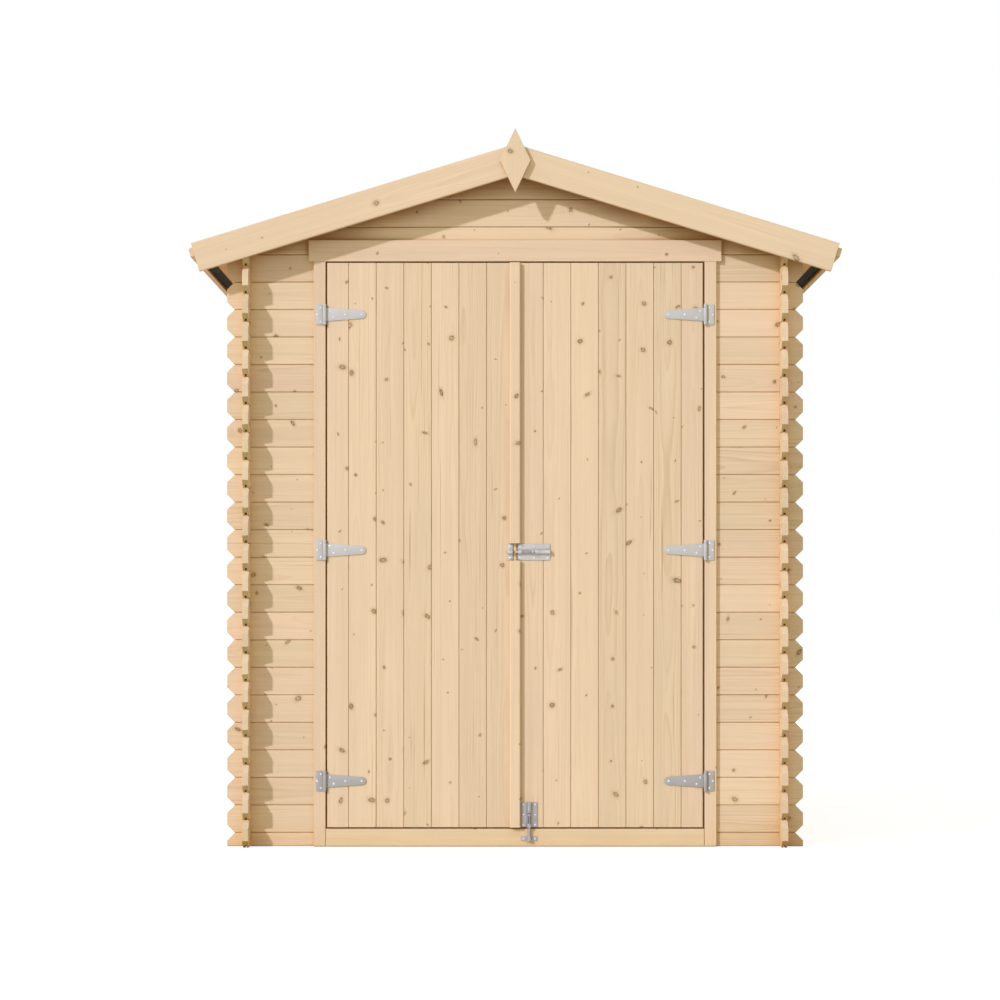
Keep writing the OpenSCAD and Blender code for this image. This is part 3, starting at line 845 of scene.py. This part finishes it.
nail = settle(bpy.context.object, "nail")
with editing(nail, "FACE", lambda face: face.normal.z > 0.9):
    bpy.ops.mesh.inset(thickness=feltLook["nailHead"] * 0.45)
    bpy.ops.transform.translate(value=(0, 0, 0.0005))
for side, word in sides:
    strips = [copyTo(strip, slopePlace(side)) for strip in (lower, upper)]
    finishPiece(strips, "roofFelt" + word.title(), "shed", "roofing_felt", "roof_felt_" + word)

# the strip over the ridge, bent in the middle
ridgeHalf = makeFeltStrip("ridgeHalf", -0.02, feltLook["ridgeWide"], roofThick + feltT + swell)
sawAtRidge(ridgeHalf)
score(ridgeHalf, (feltLook["ridgeWide"] / 2, 0, 0), rightWay)
swellStrip(ridgeHalf)
ridge = joinPieces([copyTo(ridgeHalf, slopePlace(side)) for side in (1, -1)], "ridgeFelt")
with editing(ridge, "FACE", lambda face: abs(face.calc_center_median().x) < 0.0004):
    bpy.ops.mesh.delete(type="FACE")
    bpy.ops.mesh.select_all(action="SELECT")
    bpy.ops.mesh.remove_doubles(threshold=0.0008)
    bpy.ops.mesh.normals_make_consistent(inside=False)
finishPiece([ridge], "ridgeFelt", "shed", "roofing_felt", "ridge_felt")
nails = []
nailUp = roofThick + 2 * feltT + swell * 1.7
strayY, strayX = feltLook["nailStray"]
for side in (1, -1):
    for edge, inward in zip((lapHigh, feltLook["ridgeWide"]), feltLook["nailIn"]):
        for index in range(int((roofHigh - roofLow - 0.05) / feltLook["nailSpace"]) + 1):
            y = roofLow + 0.03 + index * feltLook["nailSpace"] + chance.uniform(-strayY, strayY)
            along = edge - inward + chance.uniform(-strayX, strayX)
            nails.append(copyTo(nail, standOn(onSlope(along, nailUp, side, y),
                                              downSlope[side], offSlope[side])))
finishPiece(nails, "feltNails", "shed", "hinge_steel")
dropPieces(lower, upper, ridgeHalf, nail)
print("felt laid")


# eave strips, bargeboards and finials

bargeLook = {"soft": 0.0016, "top": 0.027, "width": 0.092, "thick": 0.016, "past": 0.002}
stripLook = {"thick": 0.014, "high": 0.029, "gap": 0.0023, "soft": 0.0015}
strip = makeTimber("eaveStrip", roofHigh - roofLow, stripLook["thick"], stripLook["high"],
                   stripLook["soft"])
for side, word in sides:
    start = onSlope(run + stripLook["gap"] + stripLook["thick"] / 2,
                    roofThick - stripLook["high"], side, roofLow)
    board = lay(strip, standOn(start, backWay, offSlope[side]), stripLook["high"])
    finishPiece([board], "eaveStrip" + word.title(), "shed", "trim_pine", "eave_strip_" + word)

beyond = 0.04               # length over the ridge that is sawn off
barge = makeTimber("barge", run + bargeLook["past"] + beyond, bargeLook["thick"],
                   bargeLook["width"], bargeLook["soft"])
barge.data.transform(Matrix.Translation((-beyond, 0, bargeLook["top"] - bargeLook["width"])))
sawAtRidge(barge)
for word, y in (("front", roofLow - bargeLook["thick"] / 2),
                ("back", roofHigh + bargeLook["thick"] / 2)):
    for side, sideWord in sides:
        board = lay(barge, Matrix.Translation((0, y, 0)) @ slopePlace(side), 0.0)
        finishPiece([board], word + "Barge" + sideWord.title(), "shed", "trim_pine",
                    word + "_bargeboard_" + sideWord)

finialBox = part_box("front_finial")
half = (finialBox[1] - finialBox[0]) / 2
finial = addBlock("finial", (-half.z, -half.y, -half.x), (half.z, half.y, half.x))
for x in (-1, 1):
    for z in (-1, 1):
        sawOff(finial, (x * half.z, 0, 0), (x * half.x, 0, z * half.z))
softenEdges(finial, 0.0013)
middle = (finialBox[0] + finialBox[1]) / 2
for word, sign in (("front", 1), ("back", -1)):
    board = lay(finial, standOn((0, sign * middle.y, middle.z), upWay, rightWay), 0.0)
    finishPiece([board], word + "FinialBoard", "shed", "trim_pine", word + "_finial")
dropPieces(strip, barge, finial)
print("roof trim fitted")


# doorway: jambs with a groove for the wall boards, head and sill

jambBox, headBox, sillBox = (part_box(name) for name in ("jamb_right", "door_head", "door_sill"))
doorwayLook = {
    "way": 0.5980,           # half of the clear width
    "grooveX": 0.61675,
    "jambX": 0.6355,
    "casingOut": 0.946,      # depths are measured towards the front
    "casingIn": 0.903,
    "stopOut": 0.926,
    "stopWide": 0.010,
    "soft": 0.0013,
    "footBevel": 0.0032,     # cut corner along the bottom of the casing
    "sillPlay": 0.0011,
    "sillStopHigh": 0.011,
}
(way, grooveX, jambX, casingOut, casingIn, stopOut, stopWide, soft, footBevel, sillPlay,
 sillStopHigh) = doorwayLook.values()
wallOut, wallIn = -frontBox[0].y, -frontBox[1].y
jamb = drawOut("jamb", (casingIn, way - stopWide), (casingOut, jambX),
               [("y", wallOut), ("y", wallIn), ("y", stopOut), ("z", way), ("z", grooveX)],
               lambda y, z: (wallIn < y < wallOut and z > grooveX) or (y > stopOut and z < way),
               jambBox[1].z)
sawOff(jamb, (footBevel, casingOut, 0), (-1, 1, 0))
softenEdges(jamb, soft)
for side, word in sides:
    post = lay(jamb, standOn((0, 0, 0), upWay, rightWay), 0.0, side < 0)
    finishPiece([post], "doorJamb" + word.title(), "shed", "trim_pine", "jamb_" + word)


def layBox(low, high, soft):
    # a timber that fills a box
    size = Vector(high) - Vector(low)
    timber = makeTimber("part", *size, soft)
    new = lay(timber, standOn((low[0], -(low[1] + high[1]) / 2, low[2]), rightWay), size.z)
    dropPieces(timber)
    return new


headFront, headHigh, headHalf = -headBox[0].y, headBox[1].z, headBox[1].x
headZ, stopX = jambBox[1].z, way - stopWide
parts = [layBox(low, high, soft) for low, high in (
    ((-headHalf, wallOut, headZ), (headHalf, headFront, headHigh)),
    ((-headHalf, casingIn, headZ), (headHalf, wallIn, headHigh)),
    ((-grooveX, wallIn, headZ), (grooveX, wallOut, splitZ)),
    ((-stopX, casingIn, headZ - stopWide), (stopX, stopOut, headZ)))]
finishPiece(parts, "doorHead", "shed", "trim_pine", "door_head")

sillHigh, sillHalf = sillBox[1].z, way - sillPlay
sill = addBlock("sill", (-sillHalf, -casingOut, 0), (sillHalf, -wallIn, sillHigh))
sawOff(sill, (0, -casingOut, footBevel), (0, -1, -1))
softenEdges(sill, soft)
for side in (-1, 1):
    low, high = sorted((side * (stopX - 0.0005), side * (way + 0.01)))
    cutAway(sill, (low, -stopOut, -0.01), (high, 0, 0.1))
# with a low strip on it that the leaves close against
parts = [lay(sill, Matrix.Identity(4), sillHigh),
         layBox((-stopX, wallIn + 0.001, sillHigh),
                (stopX, stopOut - 0.003, sillHigh + sillStopHigh), 0.002)]
finishPiece(parts, "doorSill", "shed", "trim_pine", "door_sill")
dropPieces(jamb, sill)
print("doorway framed")


# floor: boards from front to back on bearers

floorLook = {"cover": 0.0875, "bearers": 5, "bearerWide": 0.058, "soft": 0.002, "gap": 0.005}
(floorLow, floorHigh), (bearerLow, bearerHigh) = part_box("floor_boards"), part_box("floor_bearers")
floorRows = round((floorHigh.x - floorLow.x) / floorLook["cover"])
floorCover = (floorHigh.x - floorLow.x) / floorRows
floorBoards = [makeBoard(name, floorLow.y, floorHigh.y, floorHigh.z - floorLow.z, floorCover,
                         name == "floorBoard") for name in ("floorBoard", "edgeBoard")]
rows = []
for row in range(floorRows):
    start = (floorLow.x + row * floorCover, 0, (floorLow.z + floorHigh.z) / 2)
    rows.append(lay(floorBoards[row == floorRows - 1], standOn(start, backWay, rightWay)))
gap = floorLook["gap"]
for row in rows:
    low, high = (edge(point.co.x for point in row.data.vertices) for edge in (min, max))
    for side in (-1, 1):
        near, far = sorted((side * (stopX - gap), side * (jambX + gap)))
        if high > near and low < far:
            cutAway(row, (near, -1, 0), (far, -casingIn + gap, 0.1))
finishPiece(rows, "floorPlanks", "shed", "floor_pine", "floor_boards")

bearerWide = floorLook["bearerWide"]
bearerStep = (bearerHigh.y - bearerLow.y - bearerWide) / (floorLook["bearers"] - 1)
bearer = makeTimber("bearer", bearerHigh.x - bearerLow.x, bearerHigh.z, bearerWide,
                    floorLook["soft"])
rows = []
for row in range(floorLook["bearers"]):
    start = (bearerLow.x, bearerLow.y + row * bearerStep, bearerHigh.z / 2)
    rows.append(lay(bearer, standOn(start, rightWay, backWay), bearerWide))
finishPiece(rows, "floorBearers", "shed", "floor_pine", "floor_bearers")
dropPieces(bearer, *floorBoards)
print("floor laid")


# door leaves: boards, ledges, braces and the cover strip

doorLook = {
    "boardWide": 0.087,
    "boardThick": 0.016,
    "chamfer": 0.0017,
    "ledgeWide": 0.090,
    "ledgeThick": 0.018,
    "ledgeSoft": 0.003,
    "ledgeIn": 0.030,
}
boardWide, boardDeep, chamfer, ledgeWide, ledgeThick, ledgeSoft, ledgeIn = doorLook.values()
hingeLook = {
    "plateHigh": 0.064, "plateWide": 0.028, "thick": 0.003, "knuckle": 0.0055, "flat": 0.0046,
    "pinOver": 0.002, "strapHigh": 0.043, "strapTip": 0.026, "strapLong": 0.130,
    "middleDrop": 0.0075, "corner": 0.0022, "soft": 0.0004, "play": 0.0003,
    "plateScrews": ((-0.0125, 0.022), (-0.0235, 0.0), (-0.0125, -0.022)),
    "strapScrews": ((0.016, 0.0115), (0.028, -0.009), (0.065, 0.0), (0.116, 0.0)),
}
leafLow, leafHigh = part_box("right_door_boards")
leafIn, leafOut, leafFront, leafBack = leafLow.x, leafHigh.x, -leafLow.y, -leafHigh.y
wholeBoards = int((leafOut - leafIn) / boardWide)
lastWide = leafOut - leafIn - wholeBoards * boardWide
firstBoard, doorBoard, hingeBoard = (
    makeBoard(name, leafLow.z, leafHigh.z, boardDeep, wide, tongue, groove, chamfer)
    for name, wide, tongue, groove in (
        ("firstBoard", boardWide, True, False), ("doorBoard", boardWide, True, True),
        ("hingeBoard", lastWide, False, True)))
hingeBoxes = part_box("hinge_plates_right")
plateHalf, strapHalf = hingeLook["plateHigh"] / 2, hingeLook["strapHigh"] / 2
lowHinge, highHinge = hingeBoxes[0].z + plateHalf, hingeBoxes[1].z - plateHalf
hingeZ = [lowHinge, (lowHinge + highHinge) / 2 - hingeLook["middleDrop"], highHinge]
ledge = makeTimber("ledge", leafOut - leafIn - 2 * ledgeIn, ledgeThick, ledgeWide, ledgeSoft)
ledgeY, half = ledgeThick / 2 - leafBack, ledgeWide / 2
for side, word in sides:
    door = word + "_door"
    rows = []
    for row in range(wholeBoards + 1):
        board = firstBoard if row == 0 else hingeBoard if row == wholeBoards else doorBoard
        start = (side * (leafIn + row * boardWide), -(leafFront + leafBack) / 2, 0)
        rows.append(lay(board, standOn(start, upWay, (side, 0, 0))))
    finishPiece(rows, word + "DoorBoards", door, "door_pine", door + "_boards")
    rows = []
    for z in hingeZ:
        start = (side * (leafIn + ledgeIn), ledgeY, z - half)
        rows.append(lay(ledge, standOn(start, (side, 0, 0)), ledgeWide))
    finishPiece(rows, word + "DoorLedges", door, "door_pine", door + "_ledges")
    # braces rise from the hinge side of one ledge to the free side of the next
    rows = []
    for lower, upper in zip(hingeZ, hingeZ[1:]):
        start = Vector((leafOut - ledgeIn - half, 0, lower + half))
        end = Vector((leafIn + ledgeIn + half, 0, upper - half))
        rise = (end - start).normalized()
        across = Vector((rise.z, 0, -rise.x))
        wide = ledgeWide * abs(rise.z)
        brace = makeTimber("brace", (end - start).length + 0.2, ledgeThick, wide, ledgeSoft)
        place = standOn(start - rise * 0.1 - across * wide / 2, rise, across)
        brace.data.transform(place)
        sawOff(brace, (0, 0, lower + half), (0, 0, -1))
        sawOff(brace, (0, 0, upper - half), upWay)
        brace.data.transform(place.inverted())
        rows.append(lay(brace, Matrix.Translation((0, ledgeY, 0)) @ place, wide, side < 0))
        dropPieces(brace)
    finishPiece(rows, word + "DoorBraces", door, "door_pine", door + "_braces")
dropPieces(doorBoard, firstBoard, hingeBoard, ledge)

coverLook = {"half": 0.017, "thick": 0.015, "lap": 0.005, "chamfer": 0.003, "soft": 0.0008,
             "cut": 0.001, "lip": 0.0022, "tongue": (-0.0068, 0.0078)}
coverBox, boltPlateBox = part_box("cover_strip"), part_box("mid_bolt_plate")
half, thick, lap, cut = (coverLook[key] for key in ("half", "thick", "lap", "cut"))
place = standOn((0, -leafFront, 0), upWay, rightWay)
lowEnd, highStart = boltPlateBox[0].z - cut, boltPlateBox[1].z + cut
rows = []
for low, high in ((coverBox[0].z, lowEnd), (highStart, coverBox[1].z)):
    strip = drawOut("cover", (0, -half), (thick, half), [("y", lap), ("z", -leafIn)],
                    lambda y, z: y < lap and z > -leafIn, high - low, low,
                    [(thick, -half), (thick, half)], coverLook["chamfer"])
    softenEdges(strip, coverLook["soft"])
    rows.append(lay(strip, place, 0.0))
    dropPieces(strip)
# behind the bolt the strip is cut down to a thin tongue that closes the gap
left, right = coverLook["tongue"]
tongue = addBlock("tongue", (lowEnd - cut, -coverLook["lip"], left), (highStart + cut, 0, right))
softenEdges(tongue, 0.0004)
rows.append(lay(tongue, place, 0.0))
dropPieces(tongue)
finishPiece(rows, "coverStrip", "left_door", "trim_pine", "cover_strip")
print("doors made")


# screws

screwLook = {"radius": 0.0032, "high": 0.0015, "slot": 0.0008, "slotLong": 0.0032,
             "slotDeep": 0.0006, "roundness": 0.9}
high = screwLook["high"]
screwHead = addRod("screwHead", screwLook["radius"], (0, 0, 0), (0, 0, high), vertices=24)
with editing(screwHead, "FACE", lambda face: face.normal.z > 0.9):
    bpy.ops.mesh.bevel(offset=high * screwLook["roundness"], segments=5)
x, y, top = screwLook["slot"] / 2, screwLook["slotLong"] / 2, high - screwLook["slotDeep"]
for x, y in ((x, y), (y, x)):
    cutAway(screwHead, (-x, -y, top), (x, y, high + 0.01))
mark = screwHead.data.attributes.new("headLook", "FLOAT", "FACE")
mark.data.foreach_set("value", [1.0] * len(screwHead.data.polygons))
smoothShade(screwHead, 50)


def driveScrews(places, towards=frontWay, scale=1.0):
    # one head at each place, its top towards a direction and its cross turned by chance
    aim = Vector(towards).to_track_quat("Z", "Y").to_matrix().to_4x4()
    return [copyTo(screwHead, Matrix.Translation(place) @ aim
                   @ Matrix.Rotation(chance.uniform(0, math.pi / 2), 4, "Z")
                   @ Matrix.Scale(scale, 4)) for place in places]


# screws through the ledges into the door boards, seen from inside
screwIn, screwUp = ledgeIn + 0.02, 0.024
for side, word in sides:
    places = []
    for z in hingeZ:
        for row in range(wholeBoards + 1):
            x = leafOut - lastWide / 2 if row == wholeBoards else leafIn + (row + 0.5) * boardWide
            x = min(max(x, leafIn + screwIn), leafOut - screwIn)
            up = screwUp if row % 2 else -screwUp
            places.append((side * x, ledgeThick - leafBack, z + up))
    finishPiece(driveScrews(places, backWay, 1.1), word + "LedgeScrews", word + "_door",
                "bolt_zinc")


# T-hinges, made as for the left leaf with the pin at the origin and the strap towards +X

thick, knuckle, play = hingeLook["thick"], hingeLook["knuckle"], hingeLook["play"]
pinX, pinY = way + hingeLook["pinOver"], leafFront + knuckle + play
plateY, strapY = pinY - casingOut, pinY - leafFront


def makeKnuckle(name, low, high):
    # a rolled tube end, a little flat in front, its rims rounded over
    tube = addRod(name, knuckle, (0, 0, low), (0, 0, high))
    sawOff(tube, (0, -hingeLook["flat"], 0), frontWay)
    softenEdges(tube, hingeLook["soft"], 2, 50)
    return tube


def roundCorners(plate, radius, farthest=1.0):
    # the edges through the thickness of a plate, as far as a distance along X
    def isCorner(edge):
        a, b = (point.co for point in edge.verts)
        return abs(a.x - b.x) < 1e-5 and abs(a.z - b.z) < 1e-5 and a.x < farthest
    with editing(plate, "EDGE", isCorner):
        bpy.ops.mesh.bevel(offset=radius, segments=4)


plate = addBlock("leafPlate", (-hingeLook["plateWide"], plateY - thick, -plateHalf),
                 (0, plateY, plateHalf))
roundCorners(plate, hingeLook["corner"], -0.02)
strapGap = strapHalf + play
cutAway(plate, (-knuckle - 0.0006, -0.05, -strapGap), (0.01, 0.05, strapGap))
softenEdges(plate, hingeLook["soft"])
plate = joinPieces([plate, makeKnuckle("upper", strapGap, plateHalf),
                    makeKnuckle("lower", -plateHalf, -strapGap)], "hingePlate")
tipR = hingeLook["strapTip"] / 2
tipX = hingeLook["strapLong"] - tipR
strap = addRod("strap", tipR, (tipX, strapY - thick, 0), (tipX, strapY, 0), "Y", 48)
sawOff(strap, (tipX, 0, 0), (-1, 0, 0))
with editing(strap, "FACE", lambda face: face.normal.x < -0.9):
    bpy.ops.mesh.extrude_region_move(TRANSFORM_OT_translate={"value": (-tipX, 0, 0)})
    bpy.ops.transform.resize(value=(1, 1, strapHalf / tipR), center_override=(0, strapY, 0))
softenEdges(strap, hingeLook["soft"], 2, 40)
strap = joinPieces([strap, makeKnuckle("middle", -strapHalf, strapHalf)], "strap")
for side, word in reversed(sides):
    parts = {"plate": [], "strap": []}
    # plate and strap are the same both ways up, so the right ones are turned over
    turn = Matrix.Rotation(math.pi if side > 0 else 0, 4, "Y")
    for z in hingeZ:
        place = Matrix.Translation((side * pinX, -pinY, z))
        for kind, piece, y in (("plate", plate, plateY), ("strap", strap, strapY)):
            parts[kind].append(copyTo(piece, place @ turn))
            seats = [place @ Vector((-side * x, y - thick, up))
                     for x, up in hingeLook[kind + "Screws"]]
            parts[kind] += driveScrews(seats)
    for kind, body in (("plate", "shed"), ("strap", word + "_door")):
        finishPiece(parts[kind], "hinge" + kind.title() + "s" + word.title(), body,
                    "hinge_steel", "hinge_" + kind + "s_" + word, smooth=True)
dropPieces(plate, strap)
print("hinges hung")


# barrel bolts, made with the rod along +Z and the front towards -Y

boltLook = {
    "plateWide": 0.052, "plateThick": 0.0026, "corner": 0.0025, "soft": 0.0004,
    "barrel": 0.0065, "rod": 0.0037, "bore": 0.0050, "slot": 0.0078, "slotPlay": 0.0007,
    "slotOver": 0.003, "band": 0.0074, "bandLong": 0.009, "bandGap": 0.004, "bandSoft": 0.0003,
    "knobStem": 0.0025, "knobBall": 0.0042, "knobHigh": 0.0135, "screwIn": 0.0075,
    "keepBore": 0.0053, "keepThick": 0.0015, "keepScrews": 0.0175,
}


def makeBoltBody(long, slotLow, slotHigh, seat):
    look = boltLook
    wide, gap = look["plateWide"] / 2, look["bandGap"]
    plate = addBlock("plate", (-wide, seat - look["plateThick"], 0), (wide, seat, long))
    roundCorners(plate, look["corner"])
    softenEdges(plate, look["soft"])
    barrel = addRod("barrel", look["barrel"], (0, 0, 0), (0, 0, long), vertices=48)
    for low in (0, slotLow - look["bandLong"] - gap, slotHigh + gap, long - look["bandLong"]):
        carve(barrel, addRod("band", look["band"], (0, 0, low), (0, 0, low + look["bandLong"]),
                             vertices=48), "UNION")
    carve(barrel, addRod("bore", look["bore"], (0, 0, -0.01), (0, 0, long + 0.01)))
    half = look["slot"] / 2
    cutAway(barrel, (-half, -clear, slotLow), (half, 0, slotHigh))
    cutAway(barrel, (-0.02, seat - 0.0002, -0.02), (0.02, clear, long + 0.02))
    softenEdges(barrel, look["bandSoft"], 2, 45)
    return [plate, barrel]


def makeBoltRod(long, knob):
    look = boltLook
    rod = addRod("rod", look["rod"], (0, 0, 0), (0, 0, long), vertices=40)
    softenEdges(rod, 0.001, 3, 50)
    ballAt = (0, -look["knobHigh"], knob)
    stem = addRod("stem", look["knobStem"], ballAt, (0, 0, knob), "Y", 24)
    toObjectMode()
    bpy.ops.mesh.primitive_uv_sphere_add(segments=24, ring_count=14, radius=look["knobBall"],
                                         location=ballAt)
    carve(stem, settle(bpy.context.object, "ball"), "UNION")
    carve(rod, stem, "UNION")
    return [rod]


def makeKeep(deep, seat):
    # a staple over the rod with a foot on each side
    look = boltLook
    wide, inner = look["plateWide"] / 2, look["keepBore"]
    outer = inner + look["keepThick"]
    foot = addBlock("foot", (-wide, seat - look["keepThick"], 0), (wide, seat, deep))
    roundCorners(foot, look["corner"])
    hoop = addRod("hoop", outer, (0, 0, 0), (0, 0, deep), vertices=48)
    carve(hoop, addBlock("block", (-outer, 0, 0), (outer, seat, deep)), "UNION")
    carve(foot, hoop, "UNION")
    carve(foot, addRod("bore", inner, (0, 0, -0.01), (0, 0, deep + 0.01), vertices=48))
    cutAway(foot, (-inner, 0, -0.01), (inner, seat + 0.01, deep + 0.01))
    softenEdges(foot, look["soft"], 2, 45)
    return [foot]


def fitBolt(name, node, axis, knobIn, stroke, keepBody, keepSeat):
    # the rod slides along X where the axis is 0, and down along Z where it is 2
    look = boltLook
    barrel, inset, play = look["barrel"], look["screwIn"], look["knobStem"] + look["slotPlay"]
    boxes = [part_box(node + "_" + part) for part in ("plate", "rod", "keep")]
    plateLong, rodLong, keepLong = (box[1][axis] - box[0][axis] for box in boxes)
    plateStart, rodStart, keepStart = (box[0][axis] for box in boxes)
    knob = rodStart + knobIn
    wide = look["plateWide"] / 2 - inset
    plateSeats = [(x, barrel - look["plateThick"], z) for x in (-wide, wide)
                  for z in (inset, plateLong / 2, plateLong - inset)]
    keepSeats = [(x, keepSeat - look["keepThick"], keepLong / 2)
                 for x in (-look["keepScrews"], look["keepScrews"])]
    slot = (knob - stroke - play - plateStart, knob + play + look["slotOver"] - plateStart)
    for word, part, start, body, parts, seats in (
            ("Body", "plate", plateStart, "right_door",
             makeBoltBody(plateLong, *slot, barrel), plateSeats),
            ("Rod", "rod", rodStart, node, makeBoltRod(rodLong, knob - rodStart), ()),
            ("Keep", "keep", keepStart, keepBody, makeKeep(keepLong, keepSeat), keepSeats)):
        origin = (boxes[0][0] + boxes[0][1]) / 2
        origin.y = -(leafFront + barrel)
        origin[axis] = start
        place = standOn(origin, rightWay) if axis else standOn(origin, (0, 0, -1), rightWay)
        for piece in parts:
            piece.data.transform(place)
        parts += driveScrews([place @ Vector(seat) for seat in seats], scale=0.95)
        finishPiece(parts, name + word, body, "bolt_zinc", node + "_" + part, smooth=True)


# the middle bolt runs across the meeting line of the leaves, the bottom one into the sill
fitBolt("midBolt", "mid_bolt", 0, 0.054, 0.030, "left_door", boltLook["barrel"])
fitBolt("bottomBolt", "bottom_bolt", 2, 0.064, 0.024, "shed",
        leafFront + boltLook["barrel"] - casingOut)
dropPieces(screwHead)
print("bolts fitted")


# floor, light and camera

studio = {
    "floorSize": 60.0,
    "floorColour": (0.66, 0.645, 0.54, 1),
    "floorLift": 0.745,
    "floorGlow": (0.88, 0.885, 1.0, 1),
    "sunWay": (1.07, 1.0, -0.80),
    "sunStrength": 2.56,
    "sunColour": (0.80, 0.83, 1.0),
    "sunAngle": math.radians(2.2),
    "skyLow": 0.94,          # ambient light from the horizon and from overhead
    "skyHigh": 0.52,
    "skyColour": (0.985, 0.98, 0.80, 1),
    "cameraPlace": (-0.045, -7.834, 0.785),
    "camera": {"lens": 78.6, "sensor_width": 36, "shift_x": -0.0008, "shift_y": 0.098,
               "clip_end": 100},
}


def seenDirectly(tree):
    first = addNode(tree, "ShaderNodeLightPath", output="Is Camera Ray")
    seen = first.calc("MAXIMUM", first.other("Is Glossy Ray"))
    return seen.calc("MAXIMUM", first.other("Is Transmission Ray"))


toObjectMode()
bpy.ops.mesh.primitive_plane_add(size=studio["floorSize"], location=(0, 0, -0.0005))
ground = settle(bpy.context.object, "studioFloor")
material, tree, shader = newMaterial("studioFloor")
setInputs(shader, {"Base Color": studio["floorColour"], "Roughness": 0.9,
                   "Specular IOR Level": 0.0, "Emission Color": studio["floorGlow"],
                   "Emission Strength": seenDirectly(tree) * studio["floorLift"]})
ground.data.materials.append(material)

world = bpy.data.worlds.new("studioWorld")
bpy.context.scene.world = world
world.use_nodes = True
tree = world.node_tree
seen = seenDirectly(tree)
height = addNode(tree, "ShaderNodeTexCoord", output="Generated").split()[2]
sky = height.remap(0, 1, studio["skyLow"], studio["skyHigh"])
setInputs(tree.nodes["Background"], {
    "Color": seen.between(studio["skyColour"], white),
    "Strength": addNode(tree, "ShaderNodeMix", {0: seen, 2: sky, 3: 1.0})})

bpy.ops.object.light_add(type="SUN", location=(-3, -3, 4))
sun = bpy.context.object
sun.name = "sun"
sun.data.energy = studio["sunStrength"]
sun.data.color = studio["sunColour"]
sun.data.angle = studio["sunAngle"]
sun.rotation_mode = "QUATERNION"
sun.rotation_quaternion = Vector(studio["sunWay"]).to_track_quat("-Z", "Y")

bpy.ops.object.camera_add(location=studio["cameraPlace"], rotation=(math.pi / 2, 0, 0))
camera = bpy.context.object
camera.name = "camera"
for key, value in studio["camera"].items():
    setattr(camera.data, key, value)
bpy.context.scene.camera = camera
bpy.context.scene.view_settings.view_transform = "Standard"

print("scene ready")
